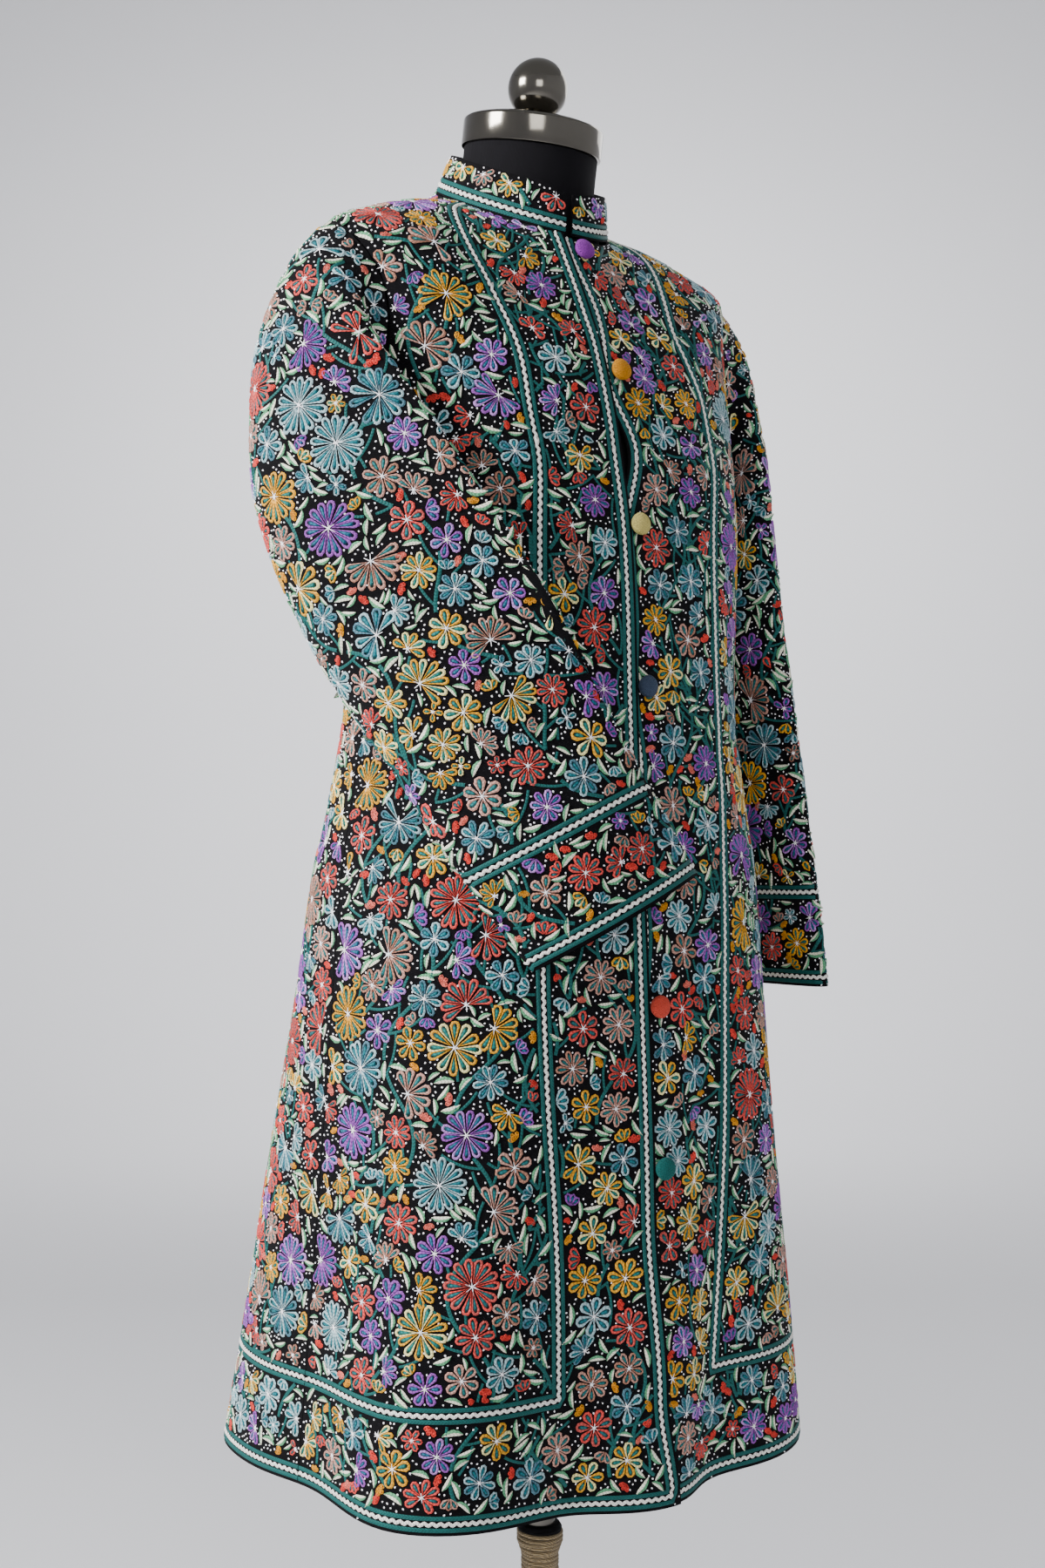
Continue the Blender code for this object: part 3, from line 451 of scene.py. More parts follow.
def collar():
    neck = Section(*SECTIONS[-1])
    start = math.degrees(math.asin(-COLLAR_FRONT_X[0] / neck.half_width))
    end = 360 + math.degrees(math.asin(-COLLAR_FRONT_X[1] / neck.half_width))
    columns, rows = COLLAR_STEPS
    angle = np.linspace(start, end, columns + 1)
    turn = np.radians(angle)
    away = np.stack([-np.sin(turn), -np.cos(turn), 0 * turn], -1)
    foot = body_point(angle, np.full(angle.shape, NECK_ROW)) + np.array([0, 0, SEAM_GAP])
    place = np.minimum(np.arange(columns + 1), columns - np.arange(columns + 1))
    near_front = np.exp(-((place / columns / COLLAR_FRONT_WIDTH) ** 2))
    head = COLLAR_TOP_RADIUS * away
    head[:, 1] += COLLAR_TOP_CENTRE_Y
    head[:, 2] += COLLAR_TOP_MEAN_Z - COLLAR_TOP_TILT * np.cos(turn) - COLLAR_FRONT_DROP * near_front
    up = np.linspace(0, 1, rows + 1)[:, None, None]
    return Cloth("collar", foot + (head - foot) * up)


def all_cloths():
    right_edge = angle_at_x(height_lookup(RIGHT_EDGE, FRONT_HEIGHT), ROWS)
    left_edge = angle_at_x(height_lookup(LEFT_EDGE, FRONT_HEIGHT), ROWS)
    front_cut = armhole_angle(ROWS, ARMHOLE_FRONT_DEG)
    back_cut = armhole_angle(ROWS, ARMHOLE_BACK_DEG)
    return {
        "front_right": panel("front_right", right_edge, 90 - SEAM_ANGLE - front_cut, FRONT_STEPS),
        "front_left": panel("front_left", left_edge, -90 + SEAM_ANGLE + front_cut, FRONT_STEPS,
                            sink=lambda x: (WALL + LAP_GAP) * (1 - smooth_step(x, *UNDERLAP_BLEND))),
        "back": panel("back", 90 + SEAM_ANGLE + back_cut, 270 - SEAM_ANGLE - back_cut, BACK_STEPS),
        "sleeve_right": sleeve("sleeve_right", 1, RIGHT_SLEEVE),
        "sleeve_left": sleeve("sleeve_left", -1, LEFT_SLEEVE),
        "collar": collar(),
    }


# Colours and materials

def linear(hex_colour):
    """An sRGB colour as linear light."""
    parts = [int(hex_colour[i:i + 2], 16) / 255 for i in (1, 3, 5)]
    return tuple(p / 12.92 if p <= 0.04045 else ((p + 0.055) / 1.055) ** 2.4 for p in parts) + (1.0,)


def node(tree, kind, inputs=None, **settings):
    """Adds a node with its settings, and links or sets its inputs."""
    made = tree.nodes.new(kind)
    for key, value in settings.items():
        setattr(made, key, value)
    for key, value in (inputs or {}).items():
        if isinstance(value, bpy.types.NodeSocket):
            tree.links.new(value, made.inputs[key])
        else:
            made.inputs[key].default_value = value
    return made


def material(name, **constants):
    """A new material's tree and its shader, with values that are the same all over."""
    made = bpy.data.materials.new(name)
    made.use_nodes = True
    shader = made.node_tree.nodes["Principled BSDF"]
    for key, value in constants.items():
        shader.inputs[key.replace("_", " ")].default_value = value
    return made, made.node_tree, shader


def object_place(tree):
    return node(tree, "ShaderNodeTexCoord").outputs["Object"]


def noise(tree, place, scale, detail=2.0):
    made = node(tree, "ShaderNodeTexNoise", {"Vector": place, "Scale": scale, "Detail": detail})
    return made.outputs["Fac"]


def ramp(tree, value, low, high):
    """A value from 0..1 spread between two others."""
    made = node(tree, "ShaderNodeMapRange", {"Value": value, "To Min": low, "To Max": high})
    return made.outputs["Result"]


def math_node(tree, operation, *values):
    return node(tree, "ShaderNodeMath", dict(enumerate(values)), operation=operation).outputs[0]


def bump(tree, shader, height, distance, strength=1.0):
    made = node(tree, "ShaderNodeBump", {"Height": height, "Distance": distance, "Strength": strength})
    tree.links.new(made.outputs["Normal"], shader.inputs["Normal"])


def shade(tree, colour, value):
    """A colour made lighter or darker by a value."""
    return node(tree, "ShaderNodeHueSaturation", {"Color": colour, "Value": value}).outputs["Color"]


def black_wool():
    """Fine black twill with a soft nap: nearly no shine, and hardly any bloom at grazing angles."""
    made, tree, shader = material("black_wool_twill", Roughness=0.95, Specular_IOR_Level=0.12,
                                  Sheen_Weight=0.02)
    place = object_place(tree)
    twill = node(tree, "ShaderNodeTexWave", {"Vector": place, "Scale": 420.0, "Distortion": 1.2},
                 bands_direction="DIAGONAL").outputs["Fac"]
    nap = noise(tree, place, 1500.0)
    wear = ramp(tree, noise(tree, place, 35.0), 0.75, 1.35)
    colour = shade(tree, linear("#08070a"), wear)
    tree.links.new(colour, shader.inputs["Base Color"])
    bump(tree, shader, math_node(tree, "ADD", twill, nap), 0.0002, 0.5)
    return made


def chain_stitch():
    """Wool thread in chain stitch: linked loops with painted shade in the grooves between them and painted
    light on their crests, and a low, soft shine.

    Its colour is each stitch's own tint, and a petal's inner row has a second one."""
    made, tree, shader = material("chain_stitch_wool", Roughness=0.62, Specular_IOR_Level=0.28,
                                  Sheen_Weight=0.03)
    tint = node(tree, "ShaderNodeAttribute", attribute_name="tint").outputs["Color"]
    inner = node(tree, "ShaderNodeAttribute", attribute_name="inner").outputs["Color"]
    zone = node(tree, "ShaderNodeAttribute", attribute_name="zone").outputs["Fac"]
    colour = node(tree, "ShaderNodeMix", {"Factor": zone, "A": tint, "B": inner}, data_type="RGBA")
    thread = node(tree, "ShaderNodeSeparateXYZ",
                  {"Vector": node(tree, "ShaderNodeUVMap", uv_map="stitch").outputs["UV"]})
    slant = math_node(tree, "MULTIPLY_ADD", math_node(tree, "ABSOLUTE", thread.outputs["Y"]), -0.55,
                      thread.outputs["X"])
    link = math_node(tree, "ABSOLUTE", math_node(tree, "SINE", math_node(tree, "MULTIPLY", slant, math.pi)))
    link = math_node(tree, "POWER", link, 0.6)
    place = object_place(tree)
    fuzz = noise(tree, place, 2600.0)
    dye = ramp(tree, noise(tree, place, 140.0), 0.80, 1.22)
    # The link pattern darkens the colour in the grooves between links and lightens it on their crests:
    # painted shade and painted light.
    value = math_node(tree, "MULTIPLY", dye, ramp(tree, link, 0.55, 1.20))
    tree.links.new(shade(tree, colour.outputs["Result"], value), shader.inputs["Base Color"])
    bump(tree, shader, math_node(tree, "MULTIPLY_ADD", fuzz, 0.4, link), 0.0004, 0.8)
    return made


def jersey():
    """Matt black stretched jersey: fine upright ribs and a faint bloom."""
    made, tree, shader = material("black_stretch_jersey", Roughness=0.9, Specular_IOR_Level=0.12,
                                  Sheen_Weight=0.03, Sheen_Roughness=0.4)
    place = object_place(tree)
    ribs = node(tree, "ShaderNodeTexWave",
                {"Vector": place, "Scale": 520.0, "Distortion": 0.6}).outputs["Fac"]
    tree.links.new(shade(tree, linear("#111013"), ramp(tree, noise(tree, place, 60.0), 0.8, 1.25)),
                   shader.inputs["Base Color"])
    bump(tree, shader, math_node(tree, "ADD", ribs, noise(tree, place, 1800.0)), 0.00015, 0.5)
    return made


def steel(name, colour, low, high, across):
    """Steel with fine polishing lines round it: bright, with soft streaks in the shine."""
    made, tree, shader = material(name, Metallic=1.0)
    place = object_place(tree)
    stretched = node(tree, "ShaderNodeMapping", {"Vector": place, "Scale": across}).outputs["Vector"]
    lines = noise(tree, stretched, 900.0, 4.0)
    smear = noise(tree, place, 26.0)
    tree.links.new(shade(tree, linear(colour), ramp(tree, smear, 0.82, 1.12)), shader.inputs["Base Color"])
    tree.links.new(ramp(tree, math_node(tree, "MULTIPLY", lines, smear), low, high),
                   shader.inputs["Roughness"])
    bump(tree, shader, lines, 0.00003, 0.35)
    return made


def jute():
    """Hairy jute twine: twisted strands, straw to brown, no shine."""
    made, tree, shader = material("jute_twine_fibre", Roughness=0.95, Sheen_Weight=0.2)
    place = object_place(tree)
    strands = node(tree, "ShaderNodeTexWave",
                   {"Vector": place, "Scale": 260.0, "Distortion": 3.0, "Detail": 2.0},
                   bands_direction="DIAGONAL").outputs["Fac"]
    fibre = noise(tree, place, 1400.0, 4.0)
    value = math_node(tree, "MULTIPLY", ramp(tree, strands, 0.55, 1.1), ramp(tree, fibre, 0.7, 1.3))
    tree.links.new(shade(tree, linear("#a08a63"), value), shader.inputs["Base Color"])
    bump(tree, shader, math_node(tree, "ADD", strands, fibre), 0.0006)
    return made


def enamel():
    """Black stove enamel with a fine orange-peel surface."""
    made, tree, shader = material("black_stove_enamel", Coat_Weight=0.3, Coat_Roughness=0.2)
    place = object_place(tree)
    tree.links.new(ramp(tree, noise(tree, place, 18.0), 0.3, 0.5), shader.inputs["Roughness"])
    tree.links.new(shade(tree, linear("#1a1a1c"), ramp(tree, noise(tree, place, 7.0), 0.85, 1.15)),
                   shader.inputs["Base Color"])
    bump(tree, shader, noise(tree, place, 420.0), 0.0001, 0.3)
    return made


def wound_thread(name, colour):
    """Mercerised cotton wound on a button: a silky line along each turn."""
    made, tree, shader = material(name, Roughness=0.7, Specular_IOR_Level=0.25, Sheen_Weight=0.06,
                                  Sheen_Roughness=0.3)
    place = object_place(tree)
    ply = node(tree, "ShaderNodeTexWave", {"Vector": place, "Scale": 700.0, "Distortion": 2.5},
               bands_direction="DIAGONAL").outputs["Fac"]
    dye = ramp(tree, noise(tree, place, 300.0), 0.8, 1.2)
    value = math_node(tree, "MULTIPLY", ramp(tree, ply, 0.7, 1.1), dye)
    tree.links.new(shade(tree, linear(colour), value), shader.inputs["Base Color"])
    bump(tree, shader, ply, 0.0002, 0.7)
    return made


def studio_paper():
    """Pale seamless paper."""
    made, tree, shader = material("pale_studio_paper", Roughness=0.95)
    place = object_place(tree)
    tree.links.new(shade(tree, linear("#e2e2e5"), ramp(tree, noise(tree, place, 0.6), 0.98, 1.02)),
                   shader.inputs["Base Color"])
    return made


# Meshes

SHARP_CLOTH = math.radians(50)
SHARP_TURNED = math.radians(35)


def new_object(name, mesh, finish):
    made = bpy.data.objects.new(name, mesh)
    bpy.context.scene.collection.objects.link(made)
    mesh.materials.clear()
    mesh.materials.append(finish)
    return made


def add_to_jacket(made, slot, *replaced):
    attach(made, "root")
    if replaced:
        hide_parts(*replaced)
    return made


def mesh_of(name, points, faces, stitch=None, zone=None, tint=None):
    """A smooth mesh, with its thread coordinates, zones and tints where they are given."""
    mesh = bpy.data.meshes.new(name)
    points = np.asarray(points).reshape(-1, 3).tolist()
    mesh.from_pydata(points, [], [list(map(int, f)) for f in faces])
    if stitch is not None:
        layer = mesh.uv_layers.new(name="stitch")
        layer.data.foreach_set("uv", np.asarray(stitch, np.float32).ravel())
    if zone is not None:
        layer = mesh.attributes.new("zone", "FLOAT", "FACE")
        layer.data.foreach_set("value", np.asarray(zone, np.float32))
    if tint is not None:
        layer = mesh.attributes.new("tint", "FLOAT_COLOR", "POINT")
        layer.data.foreach_set("color", np.asarray(tint, np.float32).ravel())
    mesh.shade_smooth()
    return mesh


def wall_depth(cloth):
    """The wall's thickness at each point, thinner where a folded sleeve's two sides lie together."""
    depth = np.full(cloth.grid.shape[:2], WALL)
    if cloth.ring:
        for depths, points, normals in zip(depth, cloth.grid, cloth.normals):
            apart = np.linalg.norm(points[:, None] - points[None], axis=-1)
            apart[normals @ normals.T > 0] = 1.0
            depths[:] = np.clip(apart.min(axis=1) * FOLD_SHARE, WALL * LEAST_WALL, WALL)
    return depth


def cloth_wall(cloth, finish):
    """The closed wall of a cut piece, with its turned edges. Each cell is cut from its first corner
    to the opposite one, as in Cloth.at, so that what is sewn on lies on the wall."""
    outer, inner = cloth.grid, cloth.grid - wall_depth(cloth)[..., None] * cloth.normals
    rows, columns = outer.shape[:2]
    if cloth.ring:
        columns -= 1
        outer, inner = outer[:, :-1], inner[:, :-1]
    index = np.arange(rows * columns).reshape(rows, columns)
    if cloth.ring:
        index = np.concatenate([index, index[:, :1]], axis=1)
    below = index + rows * columns
    a, b, c, d = index[:-1, :-1], index[:-1, 1:], index[1:, 1:], index[1:, :-1]
    outside = np.stack([a, b, c, d], -1).reshape(-1, 4)
    a, b, c, d = below[:-1, :-1], below[:-1, 1:], below[1:, 1:], below[1:, :-1]
    inside = np.stack([d, c, b, a], -1).reshape(-1, 4)
    rims = []
    lines = [(index[0], below[0], False), (index[-1], below[-1], True)]
    if not cloth.ring:
        lines += [(index[:, 0], below[:, 0], True), (index[:, -1], below[:, -1], False)]
    for top, under, flip in lines:
        rim = np.stack([top[:-1], under[:-1], under[1:], top[1:]], -1)
        rims.append(rim[:, ::-1] if flip else rim)
    faces = np.concatenate([outside, inside, *rims])
    faces = np.concatenate([faces[:, [0, 1, 2]], faces[:, [0, 2, 3]]])
    corner = outer[:2, :2]
    facing = np.cross(corner[0, 1] - corner[0, 0], corner[1, 0] - corner[0, 0]) @ cloth.normals[0, 0]
    if facing < 0:
        faces = faces[:, ::-1]
    points = np.concatenate([outer.reshape(-1, 3), inner.reshape(-1, 3)])
    mesh = mesh_of(cloth.name + "_cloth", points, faces)
    mesh.set_sharp_from_angle(angle=SHARP_CLOTH)
    return new_object(cloth.name + "_cloth", mesh, finish)


def turned(name, profile, finish, origin, axis, sides):
    """A piece turned round an axis from a profile of (radius, height) points."""
    axis = np.array(axis, float)
    side = unit(np.cross(axis, (0.0, 1.0, 0.02)))
    front = np.cross(axis, side)
    points, rings, faces = [], [], []
    for radius, height in profile:
        count = 1 if radius == 0 else sides
        turns = 2 * np.pi * np.arange(count) / max(count, 1)
        ring = (np.array(origin) + axis * height + radius * (np.outer(np.cos(turns), side)
                                                            + np.outer(np.sin(turns), front)))
        rings.append(list(range(len(points), len(points) + count)))
        points.extend(ring)
    for low, high in zip(rings, rings[1:]):
        for j in range(sides):
            k = (j + 1) % sides
            corners = (low[j % len(low)], low[k % len(low)], high[k % len(high)], high[j % len(high)])
            faces.append(tuple(dict.fromkeys(corners)))
    mesh = mesh_of(name, points, faces)
    mesh.set_sharp_from_angle(angle=SHARP_TURNED)
    return new_object(name, mesh, finish)


# Embroidery: threads laid along lines on the cloth

TEAL = "#03524f"
OFF_WHITE = "#efece4"


class Threads:
    """Raised rows of stitches on one piece of cloth, collected into one mesh."""

    def __init__(self, cloth):
        self.cloth, self.points, self.faces, self.stitch, self.tint = cloth, [], [], [], []
        self.count = 0

    def lay(self, u, v, offsets, heights, colour, pitch, closed=False):
        """Lays a row along places u, v: offsets across and heights give its cross-section."""
        cloth = self.cloth
        point, normal, _, _ = cloth.at(u, v)
        if closed:
            ahead = unit(np.roll(point, -1, axis=0) - point)
            behind = np.roll(ahead, 1, axis=0)
        else:
            step = unit(np.diff(point, axis=0))
            ahead = np.concatenate([step, step[-1:]])
            behind = np.concatenate([step[:1], step])
        tangent = unit(ahead + behind)
        stretch = 1 / np.maximum((tangent * ahead).sum(-1), 0.5)
        side = unit(np.cross(normal, tangent)) * stretch[:, None]
        length = np.concatenate([[0], np.cumsum(np.linalg.norm(np.diff(point, axis=0), axis=-1))])
        rows, runs = [], []
        for k, (offset, height) in enumerate(zip(offsets, heights)):
            uu, vv = cloth.moved(u, v, side * offset)
            p, n, _, _ = cloth.at(uu, vv)
            rows.append(p + n * height)
            runs.append(np.stack([length / pitch, np.full(len(u), k - (len(offsets) - 1) / 2)], -1))
        grid, run = np.stack(rows, 1), np.stack(runs, 1)
        n, k = grid.shape[:2]
        index = np.arange(n * k).reshape(n, k)
        if closed:
            index = np.concatenate([index, index[:1]])
            last = run[:1].copy()
            last[..., 0] = (length[-1] + np.linalg.norm(point[0] - point[-1])) / pitch
            run = np.concatenate([run, last])
        quads = np.stack([index[:-1, :-1], index[1:, :-1], index[1:, 1:], index[:-1, 1:]], -1)
        runs = np.stack([run[:-1, :-1], run[1:, :-1], run[1:, 1:], run[:-1, 1:]], -2)
        self.points.append(grid.reshape(-1, 3))
        self.faces.append(quads.reshape(-1, 4) + self.count)
        self.stitch.append(runs.reshape(-1, 2))
        self.tint.append(np.tile(linear(colour), (n * k, 1)))
        self.count += n * k

    def finish(self, name, finish):
        points, faces = np.concatenate(self.points), np.concatenate(self.faces)
        stitch = np.concatenate(self.stitch).reshape(-1, 4, 2)
        if self.cloth.name == "front_left":
            middle = points[faces].mean(axis=1)
            shown = middle[:, 0] > height_lookup(RIGHT_EDGE, middle[:, 2]) + LAP_SHADOW
            faces, stitch = faces[shown], stitch[shown]
        mesh = mesh_of(name, points, faces, stitch, None, np.concatenate(self.tint))
        return new_object(name, mesh, finish)


BAND_OFFSET = 0.0041
BAND_CROSS = ((-0.0018, -0.0009, 0.0, 0.0009, 0.0018), (-0.0003, 0.0009, 0.0004, 0.0009, -0.0003))
BAND_STEP = 0.005
BAND_PITCH = 0.0024
WAVE_LENGTH = 0.0058
WAVE_HEIGHT = 0.0008
WAVE_STEPS = 6
WAVE_PITCH = 0.0020
BORDER_SPOT_STEP = 0.003
LAP_SHADOW = 0.0004
WAVE_CROSS = ((-0.0015, 0.0, 0.0015), (-0.0003, 0.0013, -0.0003))
STEM_CROSS = ((-0.0019, 0.0, 0.0019), (-0.0003, 0.0009, -0.0003))
TWIG_CROSS = ((-0.0014, 0.0, 0.0014), (-0.0003, 0.0008, -0.0003))


def resampled(cloth, u, v, spacing, closed=False):
    """The same line with even spacing in metres."""
    if closed:
        u, v = np.append(u, u[0] + cloth.columns), np.append(v, v[0])
    point = cloth.at(u, v)[0]
    length = np.concatenate([[0], np.cumsum(np.linalg.norm(np.diff(point, axis=0), axis=-1))])
    count = max(int(round(length[-1] / spacing)), 2)
    at = np.linspace(0, length[-1], count + 1)
    if closed:
        at = at[:-1]
    return np.interp(at, length, u), np.interp(at, length, v), at


def shifted(cloth, u, v, offset, closed=False):
    """The line moved sideways by an offset that may change along it."""
    point, normal, _, _ = cloth.at(u, v)
    if closed:
        step = np.roll(point, -1, axis=0) - np.roll(point, 1, axis=0)
    else:
        step = np.gradient(point, axis=0)
    side = unit(np.cross(normal, step))
    return cloth.moved(u, v, side * np.reshape(offset, (-1, 1)))


def border(threads, u, v, closed=False):
    """Two teal bands with an off-white wave between them, along a line."""
    cloth = threads.cloth
    fine_u, fine_v, _ = resampled(cloth, u, v, BAND_STEP, closed)
    offsets, heights = BAND_CROSS
    for side in (-BAND_OFFSET, BAND_OFFSET):
        threads.lay(fine_u, fine_v, [side + o for o in offsets], heights, TEAL, BAND_PITCH, closed)
    wave_u, wave_v, run = resampled(cloth, u, v, WAVE_LENGTH / WAVE_STEPS, closed)
    swing = WAVE_HEIGHT * np.sin(2 * np.pi * run / WAVE_LENGTH)
    wave_u, wave_v = shifted(cloth, wave_u, wave_v, swing, closed)
    threads.lay(wave_u, wave_v, *WAVE_CROSS, OFF_WHITE, WAVE_PITCH, closed)
    return spots_on(cloth, *resampled(cloth, u, v, BORDER_SPOT_STEP, closed)[:2])


# The lines of the fronts, as angles at rows of SECTIONS, from the neckline down to the hem band
FRONT_LINES = {
    "front_right": ((16, 78), (15, 75), (14, 69), (13, 61), (12, 53), (10.6, 44), (9.3, 40),
                    (8.6, 38), (7.5, 38), (5.5, 37.5), (3.3, 36), (1.7, 30), (0.68, 28)),
    "front_left": ((16, -78), (15, -72), (14, -63), (13, -53), (12, -46), (11, -45), (10, -47),
                   (9, -45), (8, -39), (7, -37), (5.3, -37), (2.4, -27), (0.68, -22)),
}
EDGE_INSET = 0.0078
HEM_INSET = 0.0080
UPPER_ROW = 0.68
CUFF_LINE = 0.080
CUFF_MOVES = 8
CUFF_STEP = 0.25
COLLAR_INSET = 0.0072
# How many places each line is worked out at
EDGE_PLACES = 240
FRONT_PLACES = 160
BACK_PLACES = 300
COLLAR_PLACES = 200
LINE_PLACES = 200
TURN_PLACES = 80


def foot_line(cloth, places, inset):
    """A line along a piece's lower edge, set in from it."""
    u = np.linspace(0, cloth.columns, places)
    up = unit(cloth.at(u, np.zeros(places))[3])
    return cloth.moved(u, np.zeros(places), up * inset)


def front_borders(threads):
    """The border along a front's edge and hem, and the line that turns above the hem."""
    cloth = threads.cloth
    v = np.linspace(cloth.rows, 0, EDGE_PLACES)
    across = unit(cloth.at(np.zeros(EDGE_PLACES), v)[2])
    edge_u, edge_v = cloth.moved(np.zeros(EDGE_PLACES), v, across * EDGE_INSET)
    hem_u, hem_v = foot_line(cloth, FRONT_PLACES, HEM_INSET)
    keep_edge, keep_hem = edge_v > hem_v[0], hem_u > edge_u[-1]
    done = [border(threads, np.concatenate([edge_u[keep_edge], hem_u[keep_hem]]),
                   np.concatenate([edge_v[keep_edge], hem_v[keep_hem]]))]
    rows, angles = np.array(FRONT_LINES[cloth.name], float).T
    at = np.linspace(0, len(rows) - 1, LINE_PLACES)
    rows, angles = spline(rows, at), spline(angles, at)
    line_v = np.interp(rows, ROWS, np.arange(len(ROWS)))
    start = np.interp(rows, ROWS, cloth.start)
    end = np.interp(rows, ROWS, cloth.end)
    line_u = (angles - start) / (end - start) * cloth.columns
    turn_u = np.linspace(line_u[-1], cloth.columns, TURN_PLACES)[1:]
    turn_v = np.full(TURN_PLACES - 1, line_v[-1])
    done.append(border(threads, np.concatenate([line_u, turn_u]), np.concatenate([line_v, turn_v])))
    return done


def back_borders(threads):
    """The border along the back's hem, and the line above it."""
    cloth = threads.cloth
    u = np.linspace(0, cloth.columns, BACK_PLACES)
    upper = np.interp(UPPER_ROW, ROWS, np.arange(len(ROWS)))
    return [border(threads, *foot_line(cloth, BACK_PLACES, HEM_INSET)),
            border(threads, u, np.full(BACK_PLACES, upper))]


def sleeve_borders(threads):
    """The cuff's border and the line above it, round the sleeve."""
    cloth = threads.cloth
    u = np.arange(0, cloth.columns, CUFF_STEP)
    foot = np.full(len(u), float(cloth.rows))
    done = []
    for height in (HEM_INSET, CUFF_LINE):
        uu, vv = u.copy(), foot.copy()
        for _ in range(CUFF_MOVES):
            uu, vv = cloth.moved(uu, vv, -unit(cloth.at(uu, vv)[3]) * height / CUFF_MOVES)
        done.append(border(threads, uu, vv, closed=True))
    return done


def collar_borders(threads):
    """The border round the collar's foot."""
    return [border(threads, *foot_line(threads.cloth, COLLAR_PLACES, COLLAR_INSET))]


# Embroidery: flowers, leaves and seed stitches, each motif one small mesh that is repeated

# Half of each petal's outline from its root to its tip, as shares of its length and its width
GREAT_PETAL = ((.40, .25), (.80, .50), (.96, .33))
FINE_PETAL = ((.28, .26), (.66, .50), (.91, .37))
SMALL_PETAL = ((.40, .43), (.82, .42))
SEED_SIDES = 5
LEAF_STATIONS = ((0, .04), (.22, .38), (.55, .50), (.82, .36), (1, .04))
LEAF_BEND = .30


def petal(name, side, thread, links):
    """A petal of unit length and width: a loop of thread, thread wide against the half width,
    round an inner row."""
    outline = [(0, 0), *side, (1, 0)] + [(x, -y) for x, y in reversed(side)]
    count = len(outline)
    points = []
    for share, height in ((0, -.35), (thread / 2, 1.0), (thread, .45)):
        points += [(.5 + (x - .5) * (1 - share * .42), y * (1 - share), height) for x, y in outline]
    points.append((.55, 0, .95))
    steps = np.linalg.norm(np.diff(np.array(outline + outline[:1]), axis=0), axis=1)
    run = np.concatenate([[0], np.cumsum(steps)]) / steps.sum() * links
    faces, stitch, zone = [], [], []
    for ring in range(2):
        for j in range(count):
            a, b = ring * count + j, ring * count + (j + 1) % count
            faces.append((b, b + count, a + count, a))
            stitch += [(run[j + 1], ring - 1), (run[j + 1], ring), (run[j], ring), (run[j], ring - 1)]
            zone.append(0)
    for j in range(count):
        faces.append((2 * count + (j + 1) % count, 2 * count + j, 3 * count))
        stitch += [(points[k][0] * links / 3, points[k][1] * 2) for k in faces[-1]]
        zone.append(1)
    return mesh_of(name, points, faces, stitch, zone)


def leaf(name, links=6):
    """A bent leaf of unit length and width, in two rows of thread."""
    points, faces, stitch, zone = [], [], [], []
    for x, half in LEAF_STATIONS:
        middle = LEAF_BEND * (math.sin(math.pi * x) - .5)
        for y, height in ((-half, -.35), (-half / 2, .9), (0, .35), (half / 2, .9), (half, -.35)):
            points.append((x, middle + y, height))
    for i in range(4):
        for j in range(4):
            a = i * 5 + j
            faces.append((a, a + 5, a + 6, a + 1))
            for x, y in ((i, j), (i + 1, j), (i + 1, j + 1), (i, j + 1)):
                stitch.append((LEAF_STATIONS[x][0] * links, y % 2))
            zone.append(1 if j > 1 else 0)
    return mesh_of(name, points, faces, stitch, zone)


def seed(name):
    """An oval seed stitch of unit length."""
    turns = [2 * math.pi * k / SEED_SIDES for k in range(SEED_SIDES)]
    points = [(.5 * math.cos(t), .38 * math.sin(t), -.35) for t in turns] + [(0, 0, 1.0)]
    faces = [(k, (k + 1) % SEED_SIDES, SEED_SIDES) for k in range(SEED_SIDES)]
    return mesh_of(name, points, faces, [(0.5, 0)] * 3 * SEED_SIDES, [0] * SEED_SIDES)


def scatter_tree():
    """Repeats a motif on points that carry their own turn, size and tints."""
    tree = bpy.data.node_groups.new("sewn_motifs", "GeometryNodeTree")
    add = tree.interface.new_socket
    add("Geometry", in_out="INPUT", socket_type="NodeSocketGeometry")
    add("Motif", in_out="INPUT", socket_type="NodeSocketObject")
    add("Thread", in_out="INPUT", socket_type="NodeSocketMaterial")
    add("Geometry", in_out="OUTPUT", socket_type="NodeSocketGeometry")
    entry = node(tree, "NodeGroupInput").outputs
    motif = node(tree, "GeometryNodeObjectInfo", {"Object": entry["Motif"]}).outputs["Geometry"]
    turn = node(tree, "GeometryNodeInputNamedAttribute", {"Name": "turn"}, data_type="QUATERNION")
    size = node(tree, "GeometryNodeInputNamedAttribute", {"Name": "size"}, data_type="FLOAT_VECTOR")
    placed = node(tree, "GeometryNodeInstanceOnPoints",
                  {"Points": entry["Geometry"], "Instance": motif, "Rotation": turn.outputs["Attribute"],
                   "Scale": size.outputs["Attribute"]}).outputs["Instances"]
    real = node(tree, "GeometryNodeRealizeInstances", {"Geometry": placed}).outputs["Geometry"]
    sewn = node(tree, "GeometryNodeSetMaterial", {"Geometry": real, "Material": entry["Thread"]})
    node(tree, "NodeGroupOutput", {"Geometry": sewn.outputs["Geometry"]})
    return tree


def quaternions(along, normal):
    """Turns that lay a motif's length along one direction and its top along the normal."""
    side = unit(np.cross(normal, along))
    along = np.cross(side, normal)
    return np.array([Matrix((x, y, z)).transposed().to_quaternion()
                     for x, y, z in zip(along, side, normal)], np.float32)


# Where a motif is sewn: its root, its direction, the cloth's normal, its size and its two tints
Place = namedtuple("Place", "point along normal size tint inner")


